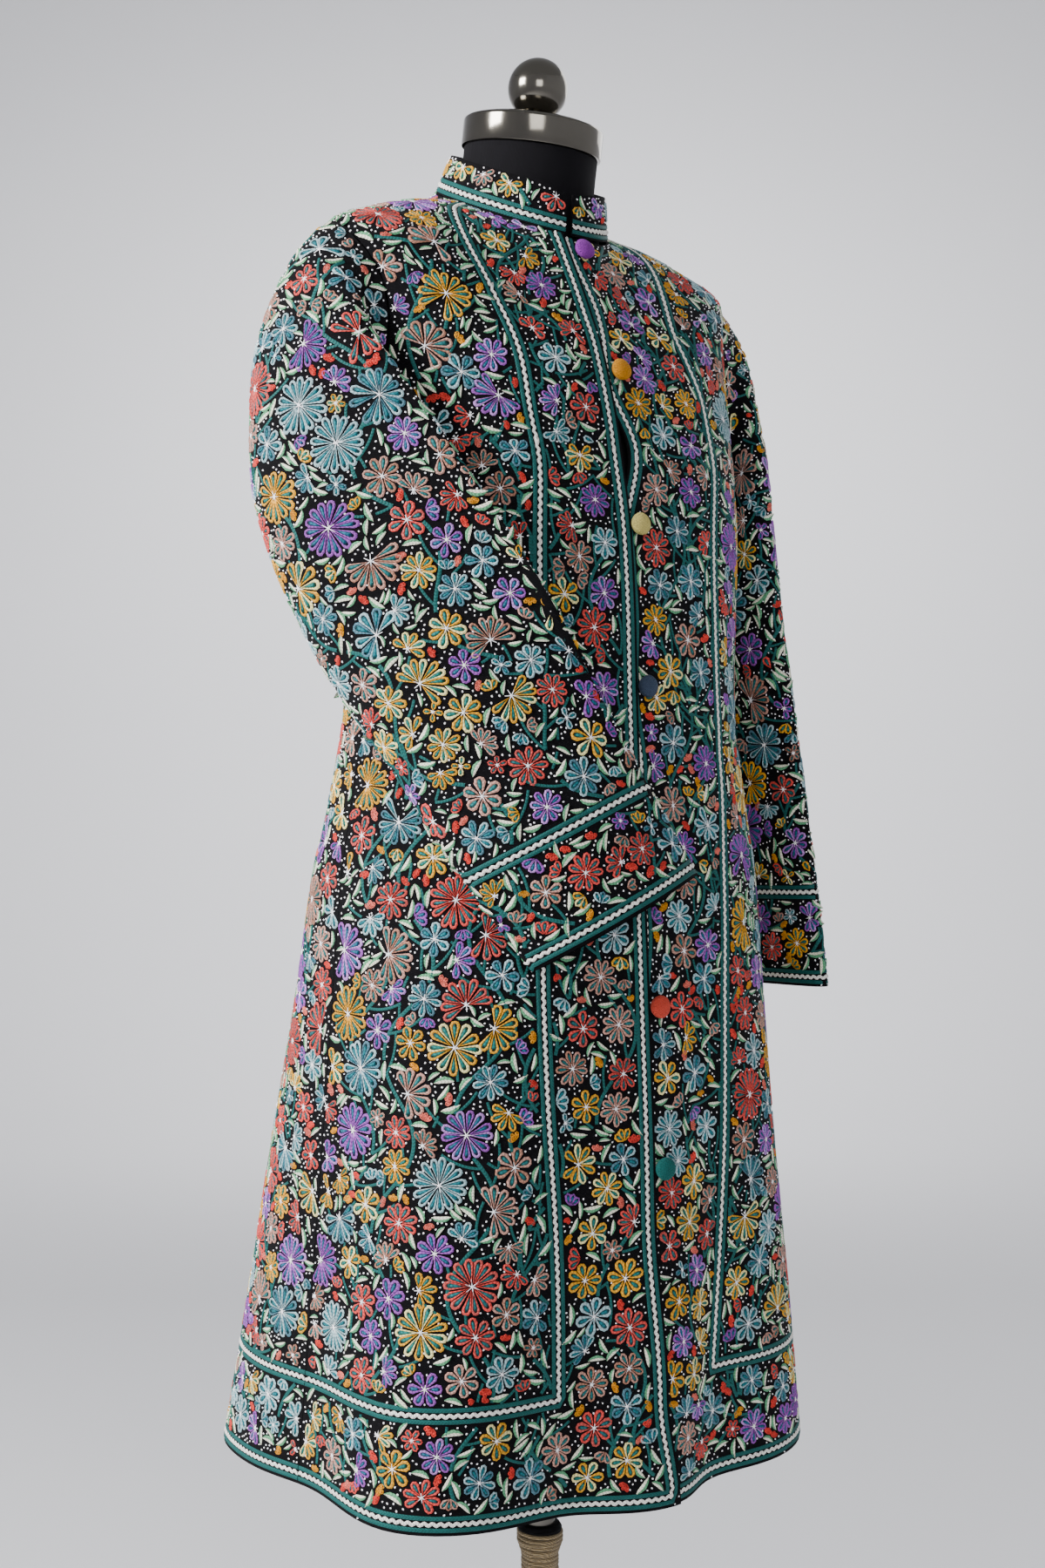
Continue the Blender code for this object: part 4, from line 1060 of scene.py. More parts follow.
def sewn(name, tree, motif, finish, places):
    """One mesh of a motif repeated at its places."""
    point, along, normal, size, tint, inner = (np.array(column, np.float32) for column in zip(*places))
    mesh = bpy.data.meshes.new(name)
    mesh.from_pydata(point.tolist(), [], [])
    new = mesh.attributes.new
    new("turn", "QUATERNION", "POINT").data.foreach_set("value", quaternions(along, normal).ravel())
    new("size", "FLOAT_VECTOR", "POINT").data.foreach_set("vector", size.ravel())
    new("tint", "FLOAT_COLOR", "POINT").data.foreach_set("color", tint.ravel())
    new("inner", "FLOAT_COLOR", "POINT").data.foreach_set("color", inner.ravel())
    carrier = bpy.data.objects.new(name + "_places", mesh)
    bpy.context.scene.collection.objects.link(carrier)
    modifier = carrier.modifiers.new("sewn", "NODES")
    modifier.node_group = tree
    sockets = {item.name: item.identifier for item in tree.interface.items_tree
               if item.in_out == "INPUT"}
    modifier[sockets["Motif"]] = motif
    modifier[sockets["Thread"]] = finish
    ready = carrier.evaluated_get(bpy.context.evaluated_depsgraph_get())
    made = bpy.data.meshes.new_from_object(ready)
    for spare in ("turn", "size"):
        if spare in made.attributes:
            made.attributes.remove(made.attributes[spare])
    made.name = name
    bpy.data.objects.remove(carrier)
    return new_object(name, made, finish)


# Thread colours of each kind of flower: the petals' two outlines and their inner row
Family = namedtuple("Family", "outline second inner share")
FAMILIES = (
    Family("#b98b7c", "#a4735f", "#0c6668", 0.20),
    Family("#9fbcc2", "#4a7484", "#0a6a74", 0.27),
    Family("#8e4aa6", "#b27fca", "#176079", 0.18),
    Family("#d2453e", "#b84a44", "#0f6064", 0.17),
    Family("#d6981a", "#ece09a", "#056a66", 0.21),
)
BUD_COLOURS = ("#d83a30", "#dd6c5c", "#d9920e", "#d83a30")
LEAF_TINTS = (linear("#e9e8d2"), linear("#5a9a70"))
SEED_TINTS = (linear("#f4f2f4"), linear("#f4f2f4"))

# Kinds of flowers: radius, how many petals over how many degrees, and how many to a square metre.
# Each takes up a round spot, lean ahead of its middle and body in radius, as shares of its radius.
# It stays clear of the stems by a share of that spot. A leaf's low and high are its length.
Flower = namedtuple("Flower", "name low high few many spread per_area fine lean body clear")
FLOWERS = (
    Flower("great daisy", .0190, .0225, 12, 15, 360, 78, False, 0.0, 1.0, 0.20),
    Flower("great fan", .0185, .0220, 7, 9, 205, 62, False, 0.22, 0.86, 0.20),
    Flower("daisy", .0126, .0156, 6, 9, 360, 430, True, 0.0, 1.0, 0.25),
    Flower("fan", .0120, .0145, 5, 6, 170, 200, True, 0.36, 0.80, 0.30),
    Flower("leaf", .0118, .0155, 0, 0, 0, 1250, True, 0.0, 0.0, 0.0),
    Flower("small daisy", .0074, .0104, 4, 6, 360, 620, True, 0.0, 1.0, 0.40),
    Flower("tulip", .0090, .0125, 3, 3, 74, 620, True, 0.52, 0.50, 0.70),
    Flower("bud", .0056, .0076, 3, 3, 84, 460, True, 0.50, 0.50, 0.90),
)
PLACES_PER_AREA = 45000
MOST_SPOTS = 9000
CROWDING = 1.11
LEAF_HALF = 0.0022
LEAF_HEIGHT = 0.0011
LEAF_SPOTS = (0.14, 0.38, 0.62, 0.86)
LEAF_TRIES = 5
LEAF_NEAR = 0.034
LEAF_ROOM = 0.62
LEAF_WIDTHS = (0.32, 0.40)
LEAF_TAKEN = 0.9
COLLAR_SHARE = 0.86
COLLAR_CROWD = 1.3
FLOWER_MARGIN = 0.0045
LAP_MARGIN = 0.004
BORDER_TAKEN = 0.0057
FINE_CUFF = 0.84
BORDER_REACH = 0.0062
PETAL_HEIGHT = 0.0011
TURNED_AWAY = 0.40
SAME_SIDE = 0.1
SIDES_APART = 0.004
BEND_REACH = 0.0075
BEND_LIMIT = 0.62
BEND_MOST = 0.0130
SAG = 0.0012

# Points on the cloth with its normals there
Spots = namedtuple("Spots", "points normals")


def spots_on(cloth, u, v):
    return Spots(*cloth.at(u, v)[:2])


def joined(parts):
    return Spots(np.concatenate([p.points for p in parts]), np.concatenate([p.normals for p in parts]))


def nearest(here, spots):
    """The distance to the nearest spot on the same side of the cloth."""
    out = np.full(len(here.points), 1.0)
    if len(spots.points):
        for i in range(0, len(out), 256):
            apart = here.points[i:i + 256, None] - spots.points[None]
            facing = here.normals[i:i + 256] @ spots.normals.T > SAME_SIDE
            squared = np.where(facing, (apart ** 2).sum(-1), 1.0)
            out[i:i + 256] = np.sqrt(squared.min(axis=1))
    return out


class Occupied:
    """Round spots already taken on the cloth. Each is moved out along its normal, so that spots on
    the two sides of a flat sleeve stay apart."""

    def __init__(self, cell=0.006):
        self.cell, self.cells = cell, {}

    def place(self, point, normal):
        moved = point + normal * SIDES_APART
        return moved, tuple(int(math.floor(c / self.cell)) for c in moved)

    def add(self, point, normal, radius):
        moved, key = self.place(point, normal)
        self.cells.setdefault(key, []).append((*moved, radius))

    def clear(self, point, normal, radius):
        (x, y, z), (i, j, k) = self.place(point, normal)
        for a in (i - 1, i, i + 1):
            for b in (j - 1, j, j + 1):
                for c in (k - 1, k, k + 1):
                    for px, py, pz, r in self.cells.get((a, b, c), ()):
                        if (px - x) ** 2 + (py - y) ** 2 + (pz - z) ** 2 < (r + radius) ** 2:
                            return False
        return True


def random_places(cloth, rng, count):
    """Places spread evenly over a piece's area."""
    area = cloth.area().ravel()
    chosen = rng.choice(len(area), size=count, p=area / area.sum())
    i, j = np.divmod(chosen, cloth.columns)
    return j + rng.random(count), i + rng.random(count)


def grow(cloth, u, v, turn, bend, steps, length):
    """Lines that start at places with a heading and bend as they go, step by step."""
    line = [(u, v)]
    for step in range(steps):
        _, _, across, up = cloth.basis(u, v)
        heading = turn + bend(step)
        offset = across * np.cos(heading)[:, None] + up * np.sin(heading)[:, None]
        u, v = cloth.moved(u, v, offset * length)
        line.append((u, v))
    return np.array(line)


STEM_SPACING = 0.042
STEM_STEP = 0.005
STEM_SWING = 0.75
STEM_WAVE = 0.15
TWIG_EVERY = 3
TWIG_TURN = 0.85
TWIG_STEPS = 7
TWIG_STEP = 0.0045
TWIG_BEND = 0.09
STEM_MARGIN = 0.003
STEM_LEAST = 8
STEM_BORDER = 0.0060
STEM_COVER = 0.72
STEM_TAKEN = 0.0017
STEM_SHOWN = 3


def stems(cloth, rng):
    """Meandering stems with twigs to both sides, as lines of places with their cross-sections."""
    down = cloth.ring
    foot_v = cloth.rows - 1.5 if down else 1.5
    foot = cloth.at(np.arange(cloth.columns + 1.0), np.full(cloth.columns + 1, foot_v))[0]
    width = np.linalg.norm(np.diff(foot, axis=0), axis=1).sum()
    count = max(int(width / STEM_SPACING), 1)
    u = (np.arange(count) + 0.5) / count * cloth.columns
    phase = rng.random(count) * 2 * np.pi
    heading = -np.pi / 2 if down else np.pi / 2
    height = np.linalg.norm(np.diff(cloth.grid[:, 0], axis=0), axis=1).sum()

    def swing(step, phase):
        return STEM_SWING * np.sin(2 * np.pi * step * STEM_STEP / STEM_WAVE + phase)

    lines = grow(cloth, u, np.full(count, foot_v), np.full(count, heading),
                 lambda step: swing(step, phase), int(height / STEM_STEP * 1.2), STEM_STEP)
    out = []
    for k in range(count):
        line = lines[:, :, k]
        ok = cloth.inside(line[:, 0], line[:, 1], STEM_MARGIN)
        stop = len(ok) if ok.all() else int(np.argmin(ok))
        if stop < STEM_LEAST:
            continue
        line = line[:stop]
        out.append((line, STEM_CROSS))
        at = np.arange(2 + k % 3, stop - 2, TWIG_EVERY)
        side = np.where(np.arange(len(at)) % 2, 1.0, -1.0)
        turn = heading + swing(at, phase[k]) + side * TWIG_TURN
        twigs = grow(cloth, line[at, 0], line[at, 1], turn,
                     lambda step: -side * TWIG_BEND * step, TWIG_STEPS, TWIG_STEP)
        for m in range(len(at)):
            twig = twigs[:, :, m]
            if cloth.inside(twig[:, 0], twig[:, 1], STEM_MARGIN).all():
                out.append((twig, TWIG_CROSS))
    return out


def lay_shown(threads, line, cross, borders, flowers, reach, taken):
    """Lays the stretches of a stem that neither a border nor a flower covers."""
    here = spots_on(threads.cloth, line[:, 0], line[:, 1])
    shown = (nearest(here, borders) > STEM_BORDER) & ~under_lap(threads.cloth, here.points, 0.0)
    if len(reach):
        apart = np.linalg.norm(here.points[:, None] - flowers.points[None], axis=-1)
        covered = (apart < STEM_COVER * reach) & (here.normals @ flowers.normals.T > SAME_SIDE)
        shown &= ~covered.any(axis=1)
    start = None
    for i, ok in enumerate(list(shown) + [False]):
        if ok and start is None:
            start = i
        if not ok and start is not None:
            if i - start >= STEM_SHOWN:
                threads.lay(line[start:i, 0], line[start:i, 1], *cross, TEAL, BAND_PITCH)
                for point, normal in zip(here.points[start:i], here.normals[start:i]):
                    taken.add(point, normal, STEM_TAKEN)
            start = None


def embroider(cloth, rng, borders, threads, small_only):
    """Lays out one piece's stems, flowers, leaves and seed stitches. Returns each motif's places."""
    area = cloth.area().sum()
    lines = stems(cloth, rng)
    stem_spots = joined([spots_on(cloth, line[:, 0], line[:, 1]) for line, _ in lines])
    u, v = random_places(cloth, rng, int(area * PLACES_PER_AREA))
    keep = cloth.inside(u, v, FLOWER_MARGIN)
    u, v = u[keep], v[keep]
    here = spots_on(cloth, u, v)
    keep = ~under_lap(cloth, here.points, LAP_MARGIN)
    u, v, here = u[keep], v[keep], Spots(here.points[keep], here.normals[keep])
    room = nearest(here, borders) - BORDER_REACH
    to_stem = nearest(here, stem_spots)
    fine_only, bent = fine_zone(cloth, u, v), sharply_bent(cloth, u, v)
    middle, normals = np.zeros((MOST_SPOTS, 3)), np.zeros((MOST_SPOTS, 3))
    reach = np.zeros(MOST_SPOTS)
    n, flowers, leaves = 0, [], []
    odds = np.array([f.share for f in FAMILIES]) / sum(f.share for f in FAMILIES)
    for kind in FLOWERS:
        if small_only and not kind.fine:
            continue
        scale = COLLAR_SHARE if small_only else 1.0
        low, high = kind.low * scale, kind.high * scale
        wanted, made = kind.per_area * area * (COLLAR_CROWD if small_only else 1.0), 0
        fits = (room * CROWDING > low * kind.body) & (to_stem > kind.clear * low * kind.body)
        if not kind.fine:
            fits &= ~fine_only
        if kind.high > BEND_MOST:
            fits &= ~bent
        if kind.name == "leaf":
            fits = (room > LEAF_HALF) & (to_stem > LEAF_HALF)
        for i in rng.permutation(np.flatnonzero(fits)):
            if kind.name == "leaf":
                place = leaf_at(cloth, rng, u[i], v[i], rng.uniform(low, high),
                                middle[:n], normals[:n], reach[:n])
                if place is None:
                    continue
                leaves.append(place)
                for share in LEAF_SPOTS:
                    middle[n] = place.point + place.along * place.size[0] * share
                    normals[n], reach[n] = place.normal, LEAF_HALF
                    n += 1
            else:
                free = room[i]
                if n:
                    apart = np.sqrt(((middle[:n] - here.points[i]) ** 2).sum(1)) - reach[:n]
                    apart = apart[normals[:n] @ here.normals[i] > SAME_SIDE]
                    free = min(free, apart.min()) if len(apart) else free
                radius = min(rng.uniform(low, high), free * CROWDING / kind.body)
                if radius < low:
                    continue
                middle[n], normals[n], reach[n] = here.points[i], here.normals[i], radius * kind.body
                n += 1
                flowers.append((kind, u[i], v[i], rng.random() * 2 * np.pi, radius,
                                FAMILIES[rng.choice(len(FAMILIES), p=odds)]))
            made += 1
            if made >= wanted:
                break
    taken = Occupied()
    for point, normal in zip(borders.points, borders.normals):
        taken.add(point, normal, BORDER_TAKEN)
    for line, cross in lines:
        lay_shown(threads, line, cross, borders, Spots(middle[:n], normals[:n]), reach[:n], taken)
    sets = petals_of(cloth, rng, borders, flowers, taken)
    for place in leaves:
        for share in LEAF_SPOTS:
            spot = place.point + place.along * place.size[0] * share
            taken.add(spot, place.normal, LEAF_HALF * LEAF_TAKEN)
    sets["leaves"] = leaves + leaves_of(cloth, rng, taken, area)
    sets["seeds"] = seeds_of(cloth, rng, taken, area) + sets.pop("knots")
    return sets


def leaf_at(cloth, rng, u, v, length, spots, normals, reach):
    """A leaf at a place, turned the first of a few ways that is free, or None."""
    point, normal, across, up = (value[0] for value in cloth.basis(np.array([u]), np.array([v])))
    near = (((spots - point) ** 2).sum(1) < LEAF_NEAR ** 2) & (normals @ normal > SAME_SIDE)
    spots, reach = spots[near], reach[near]
    free = LEAF_HALF * LEAF_ROOM
    if len(reach) and (np.sqrt(((spots - point) ** 2).sum(1)) - reach).min() < free:
        return None
    for turn in rng.random(LEAF_TRIES) * 2 * np.pi:
        way = across * math.cos(turn) + up * math.sin(turn)
        start = point - way * length / 2
        own = start + way * length * np.array(LEAF_SPOTS)[:, None]
        apart = np.sqrt(((own[:, None] - spots[None]) ** 2).sum(-1)) - reach
        if not apart.size or apart.min() > free:
            size = (length, length * rng.uniform(*LEAF_WIDTHS), LEAF_HEIGHT)
            return Place(start, way, normal, size, *LEAF_TINTS)
    return None


def fine_zone(cloth, u, v):
    """Where only small flowers are sewn: along the front edges and in the hem and cuff bands."""
    if cloth.name == "collar":
        return np.ones(len(u), bool)
    if cloth.ring:
        return v > cloth.rows * FINE_CUFF
    out = v < np.interp(UPPER_ROW, ROWS, np.arange(len(ROWS)))
    if cloth.name in FRONT_LINES:
        rows, angles = np.array(FRONT_LINES[cloth.name], float).T
        row = np.interp(v, np.arange(len(ROWS)), ROWS)
        angle = np.interp(-row, -rows, angles)
        start, end = np.interp(row, ROWS, cloth.start), np.interp(row, ROWS, cloth.end)
        out = out | (u / cloth.columns < (angle - start) / (end - start))
    return out


def sharply_bent(cloth, u, v):
    """Where the cloth turns so sharply that only the smallest motifs lie flat, as on a fold."""
    out = np.zeros(len(u), bool)
    for way in cloth.basis(u, v)[2:]:
        first, last = (cloth.at(*cloth.moved(u, v, way * reach))[1] for reach in (-BEND_REACH, BEND_REACH))
        out |= (first * last).sum(-1) < BEND_LIMIT
    return out


def under_lap(cloth, points, margin):
    """Whether points of the left front lie under the right one."""
    if cloth.name != "front_left":
        return np.zeros(len(points), bool)
    return points[:, 0] < height_lookup(RIGHT_EDGE, points[:, 2]) + margin


# A petal's greatest width against its length, and how far out it is widest, as 2 pi times a share
WIDEST = 0.62
WIDE_AT = 4.0
GREAT_WIDE_AT = 4.6
FEWEST_DEGREES = 100
# How evenly petals are sewn: their colour's depth, turn, length and width
DEPTHS = (0.86, 1.12)
TURN_SPREAD = 0.035
LENGTHS = (0.94, 1.04)
WIDTHS = (0.95, 1.05)
ALTERNATE = 0.6
FINE_LEAST = 0.0115
HEART_DEGREES = 150
# Places along a petal, from its root to its tip, and the spots that it takes up
PETAL_PLACES = (0.07, 0.55, 1.0)
PETAL_SPOTS = (0.25, 0.55, 0.84)
PETAL_TAKEN = 0.44
# How far its tip and its middle stay inside the piece, and the tip's leave over a border
TIP_MARGIN = 0.0008
MIDDLE_MARGIN = 0.001
TIP_LEAVE = 0.0004
PETAL_LAP_MARGIN = 0.002
PETAL_RUN = (0.6, 1.1)
PETAL_LIFT = 0.8
KNOT_SIZE = (0.0024, 0.0028, 0.0010)
KNOT_LIFT = 0.75
RAYS = 3
RAY_LENGTH = 0.62
RAY_SECTION = (0.0010, 0.0005)
RAY_TURN = 0.4


def petal_width(kind, radius, count):
    """How wide a petal is, so that neighbours just touch where they are widest."""
    if kind.spread < FEWEST_DEGREES:
        return WIDEST * radius
    turn = math.radians(kind.spread)
    if kind.spread != 360:
        turn = turn * count / (count - 1)
    wide_at = GREAT_WIDE_AT if kind.name.startswith("great") else WIDE_AT
    return min(wide_at * radius * turn / (2 * math.pi) / count, WIDEST * radius)


def petals_of(cloth, rng, borders, flowers, taken):
    """Every petal's place by size, and the white knot and rays in each flower's middle."""
    sets = {"great_petals": [], "petals": [], "small_petals": [], "knots": []}
    rows, hearts = [], []
    for kind, u, v, heading, radius, family in flowers:
        count = int(rng.integers(kind.few, kind.many + 1))
        spread = math.radians(kind.spread)
        whole = kind.spread == 360
        step = spread / count if whole else spread / (count - 1)
        first = heading - (0 if whole else spread / 2)
        width = petal_width(kind, radius, count)
        alternate = rng.random() < ALTERNATE
        bud = BUD_COLOURS[rng.integers(len(BUD_COLOURS))]
        depth = rng.uniform(*DEPTHS)
        size = "petals" if radius > FINE_LEAST else "small_petals"
        if kind.name.startswith("great"):
            size = "great_petals"
        for k in range(count):
            outline = family.second if alternate and k % 2 else family.outline
            inner = family.inner
            if kind.name == "bud":
                outline = inner = bud
            tints = [tuple(c * depth for c in linear(tint)[:3]) + (1.0,) for tint in (outline, inner)]
            rows.append((u, v, heading, kind.lean * radius, first + step * k + rng.normal(0, TURN_SPREAD),
                         radius * rng.uniform(*LENGTHS), width * rng.uniform(*WIDTHS), size, *tints))
        if kind.spread > HEART_DEGREES:
            hearts.append((u, v, heading, kind.lean * radius, radius, first))
    if not rows:
        return sets
    u, v, heading, lean, turn, length, width = (np.array(c, float) for c in list(zip(*rows))[:7])
    root_u, root_v = leaned(cloth, u, v, heading, -lean)
    _, _, across, up = cloth.basis(root_u, root_v)
    way = across * np.cos(turn)[:, None] + up * np.sin(turn)[:, None]
    places = [cloth.moved(root_u, root_v, way * (length * share)[:, None]) for share in PETAL_PLACES]
    root, middle, tip = (spots_on(cloth, *place) for place in places)
    shown = cloth.inside(*places[2], TIP_MARGIN) & cloth.inside(*places[1], MIDDLE_MARGIN)
    shown &= nearest(tip, borders) > BORDER_REACH - TIP_LEAVE
    shown &= nearest(middle, borders) > BORDER_REACH
    shown &= ~under_lap(cloth, middle.points, PETAL_LAP_MARGIN)
    shown &= (tip.normals * root.normals).sum(-1) > TURNED_AWAY
    run = np.linalg.norm(tip.points - root.points, axis=-1)
    shown &= (run > PETAL_RUN[0] * length) & (run < PETAL_RUN[1] * length)
    lift = ((middle.points - (root.points + tip.points) / 2) * middle.normals).sum(-1)
    shown &= np.abs(lift) < SAG
    for i in np.flatnonzero(shown):
        along = tip.points[i] - root.points[i]
        reach = np.linalg.norm(along)
        along = along / reach
        start = root.points[i] + middle.normals[i] * max(lift[i], 0.0) * PETAL_LIFT
        size, outline, inner = rows[i][7:]
        whole = (reach, width[i], PETAL_HEIGHT)
        sets[size].append(Place(start, along, middle.normals[i], whole, outline, inner))
        for share in PETAL_SPOTS:
            taken.add(start + along * reach * share, middle.normals[i], width[i] * PETAL_TAKEN)
    for u, v, heading, lean, radius, first in hearts:
        at_u, at_v = leaned(cloth, *(np.array([value]) for value in (u, v, heading, -lean)))
        point, normal, across, up = (value[0] for value in cloth.basis(at_u, at_v))
        if nearest(Spots(point[None], normal[None]), borders)[0] < BORDER_REACH:
            continue
        middle = point + normal * PETAL_HEIGHT * KNOT_LIFT
        for k in range(RAYS):
            turn = first + math.pi * k / RAYS + RAY_TURN
            way = across * math.cos(turn) + up * math.sin(turn)
            size = (radius * RAY_LENGTH, *RAY_SECTION)
            sets["knots"].append(Place(middle, way, normal, size, *SEED_TINTS))
        sets["knots"].append(Place(middle, across, normal, KNOT_SIZE, *SEED_TINTS))
    return sets


def leaned(cloth, u, v, heading, distance):
    """The places a distance away along a heading."""
    _, _, across, up = cloth.basis(u, v)
    way = across * np.cos(heading)[:, None] + up * np.sin(heading)[:, None]
    return cloth.moved(u, v, way * distance[:, None])


LEAVES_PER_AREA = 30000
LEAF_LENGTHS = (0.0092, 0.0125)
LEAF_MARGIN = 0.0035
LEAF_LAP_MARGIN = 0.005
# Spots along a short leaf, and how much room each needs
LEAF_NEEDS = ((-0.38, 0.0006), (-0.13, 0.0012), (0.13, 0.0012), (0.38, 0.0006))
SPOT_TAKEN = 0.0017
SEEDS_PER_AREA = 110000
SEED_MARGIN = 0.0014
SEED_LAP_MARGIN = 0.002
SEED_SIZES = (0.0021, 0.0027)
SEED_HEIGHT = 0.0009
SEED_ROOM = 0.0009
SEED_TAKEN = 0.0022


def leaves_of(cloth, rng, taken, area):
    """Short leaves in the gaps that are left."""
    out = []
    u, v = random_places(cloth, rng, int(area * LEAVES_PER_AREA))
    point, normal, across, up = cloth.basis(u, v)
    turn = rng.random(len(u)) * 2 * np.pi
    way = across * np.cos(turn)[:, None] + up * np.sin(turn)[:, None]
    length = rng.uniform(*LEAF_LENGTHS, len(u))
    ok = cloth.inside(u, v, LEAF_MARGIN) & ~under_lap(cloth, point, LEAF_LAP_MARGIN)
    for i in np.flatnonzero(ok):
        spots = [(point[i] + way[i] * length[i] * share, room) for share, room in LEAF_NEEDS]
        if all(taken.clear(spot, normal[i], room) for spot, room in spots):
            for spot, _ in spots:
                taken.add(spot, normal[i], SPOT_TAKEN)
            size = (length[i], length[i] * rng.uniform(*LEAF_WIDTHS), LEAF_HEIGHT)
            start = point[i] - way[i] * length[i] / 2
            out.append(Place(start, way[i], normal[i], size, *LEAF_TINTS))
    return out


def seeds_of(cloth, rng, taken, area):
    """White seed stitches over the ground that is left."""
    u, v = random_places(cloth, rng, int(area * SEEDS_PER_AREA))
    point, normal, across, up = cloth.basis(u, v)
    turn = rng.random(len(u)) * np.pi
    way = across * np.cos(turn)[:, None] + up * np.sin(turn)[:, None]
    ok = cloth.inside(u, v, SEED_MARGIN) & ~under_lap(cloth, point, SEED_LAP_MARGIN)
    size = rng.uniform(*SEED_SIZES, len(u))
    out = []
    for i in np.flatnonzero(ok):
        if taken.clear(point[i], normal[i], SEED_ROOM):
            taken.add(point[i], normal[i], SEED_TAKEN)
            out.append(Place(point[i], way[i], normal[i], (size[i], size[i], SEED_HEIGHT), *SEED_TINTS))
    return out


# Small pieces

BUTTON_RADIUS = 0.0090
BUTTON_HEIGHT = 0.0085
BUTTON_LIFT = 0.0006
BUTTON_HEIGHTS = (1.398, 1.296, 1.176, 1.053, 0.933, 0.813, 0.693)
BUTTON_COLOURS = (("violet", "#86309c"), ("amber", "#c68408"), ("cream", "#cdbf72"),
                  ("slate", "#3c4a60"), ("rose", "#9c4068"), ("coral", "#d24a38"), ("teal", "#03605c"))
SHANK_RADIUS = 0.0016
# The dome's foot and its widest place, as shares of BUTTON_RADIUS
DOME_FOOT = 0.78
DOME_WIDE = 0.93
# The dome's middle and its height above that, as shares of BUTTON_HEIGHT
DOME_LOW = 0.36
DOME_HIGH = 0.56
# Windings in each layer, the layers' turns, and their reach as a share of the dome
WINDINGS = 9
LAYER_TURNS = (0.0, 1.05, 2.1)
LAYER_RISE = 0.00004
WOUND_REACH = 0.94
WOUND_LENGTH = 0.98
WOUND_RADIUS = BUTTON_RADIUS * 0.945
WOUND_HIGH = 0.575
WOUND_THREAD = 0.00042
WOUND_PLACES = 15
LOOKUP_ROWS = 4000
# A direction that no thread or axis follows, to turn a section from
OFF_AXIS = (0.13, 0.21, 0.97)


def tube(points, radius, sides=6):
    """Points and faces of a round thread along a line."""
    tangent = unit(np.gradient(points, axis=0))
    side = unit(np.cross(tangent, OFF_AXIS))
    top = np.cross(tangent, side)
    turns = 2 * np.pi * np.arange(sides) / sides
    rings = (points[:, None] + radius * (np.cos(turns)[None, :, None] * side[:, None]
                                         + np.sin(turns)[None, :, None] * top[:, None]))
    faces = []
    for i in range(len(points) - 1):
        for j in range(sides):
            k = (j + 1) % sides
            faces.append((i * sides + j, i * sides + k, (i + 1) * sides + k, (i + 1) * sides + j))
    faces.append(tuple(range(sides))[::-1])
    last = (len(points) - 1) * sides
    faces.append(tuple(range(last, last + sides)))
    return rings.reshape(-1, 3), faces


def row_at_front_height(z):
    """The row of SECTIONS at which the centre front has this height."""
    rows = np.linspace(0, NECK_ROW, LOOKUP_ROWS)
    return np.interp(z, body_point(np.zeros(LOOKUP_ROWS), rows)[:, 2], rows)


def dome_profile(lift):
    """A button's shank and dome, as (radius, height) points."""
    profile = [(0, 0), (SHANK_RADIUS, 0), (SHANK_RADIUS, lift), (BUTTON_RADIUS * DOME_FOOT, lift)]
    for angle in range(-30, 91, 12):
        turn = math.radians(angle)
        radius = max(BUTTON_RADIUS * DOME_WIDE * math.cos(turn), 0) if angle < 90 else 0
        profile.append((radius, lift + BUTTON_HEIGHT * (DOME_LOW + DOME_HIGH * math.sin(turn))))
    return profile


def winding(foot, normal, lift):
    """The thread wound over a button's dome: points and faces."""
    side = unit(np.cross(normal, (0.0, 0.3, 1.0)))
    top = np.cross(normal, side)
    all_points, all_faces, count = [], [], 0
    for layer, tilt in enumerate(LAYER_TURNS):
        c, d = math.cos(tilt), math.sin(tilt)
        for k in range(WINDINGS):
            x = ((k + 0.5) / WINDINGS * 2 - 1) * WOUND_REACH
            line = []
            for s in np.linspace(-1, 1, WOUND_PLACES):
                y = s * math.sqrt(max(1 - x ** 2, 0.0)) * WOUND_LENGTH
                px, py = x * c - y * d, x * d + y * c
                rise = DOME_LOW + WOUND_HIGH * math.sqrt(max(1 - px * px - py * py, 0.0))
                line.append(foot + side * px * WOUND_RADIUS + top * py * WOUND_RADIUS
                            + normal * (lift + BUTTON_HEIGHT * rise + layer * LAYER_RISE))
            points, faces = tube(np.array(line), WOUND_THREAD, 5)
            all_points.append(points)
            all_faces += [tuple(corner + count for corner in face) for face in faces]
            count += len(points)
    return np.concatenate(all_points), all_faces


def buttons():
    """Domed buttons wound with thread from the rim to the crown."""
    lift = WALL + LAP_GAP + BUTTON_LIFT
    for number, (z, (colour_name, colour)) in enumerate(zip(BUTTON_HEIGHTS, BUTTON_COLOURS), 1):
        row = row_at_front_height(z)
        normal = body_normal(0.0, row)
        foot = body_point(0.0, row) - (WALL + LAP_GAP - TOUCH) * normal
        finish = wound_thread(f"wound_{colour_name}_thread", colour)
        dome = turned(f"button_{number}_dome", dome_profile(lift), finish, foot, normal, 32)
        mesh = mesh_of(f"button_{number}_winding", *winding(foot, normal, lift))
        wound = new_object(mesh.name, mesh, finish)
        add_to_jacket(dome, "thread_" + colour_name, f"button_{number}")
        add_to_jacket(wound, "thread_" + colour_name)


NECK_RADIUS = 0.0545
NECK_TOP_CENTRE = np.array([0.0, 0.0120, 1.4920])
NECK_TILT = math.radians(10.4)
CAP_RADIUS = 0.0570
CAP_RIM = 0.0230
CAP_DOME = 0.0060
BALL_RADIUS = 0.0243
BALL_HEIGHT = 0.0510
CAP_EDGE = 0.003
FORM_BOTTOM = 0.800
FORM_SIDES = 120
TOUCH = 0.0003


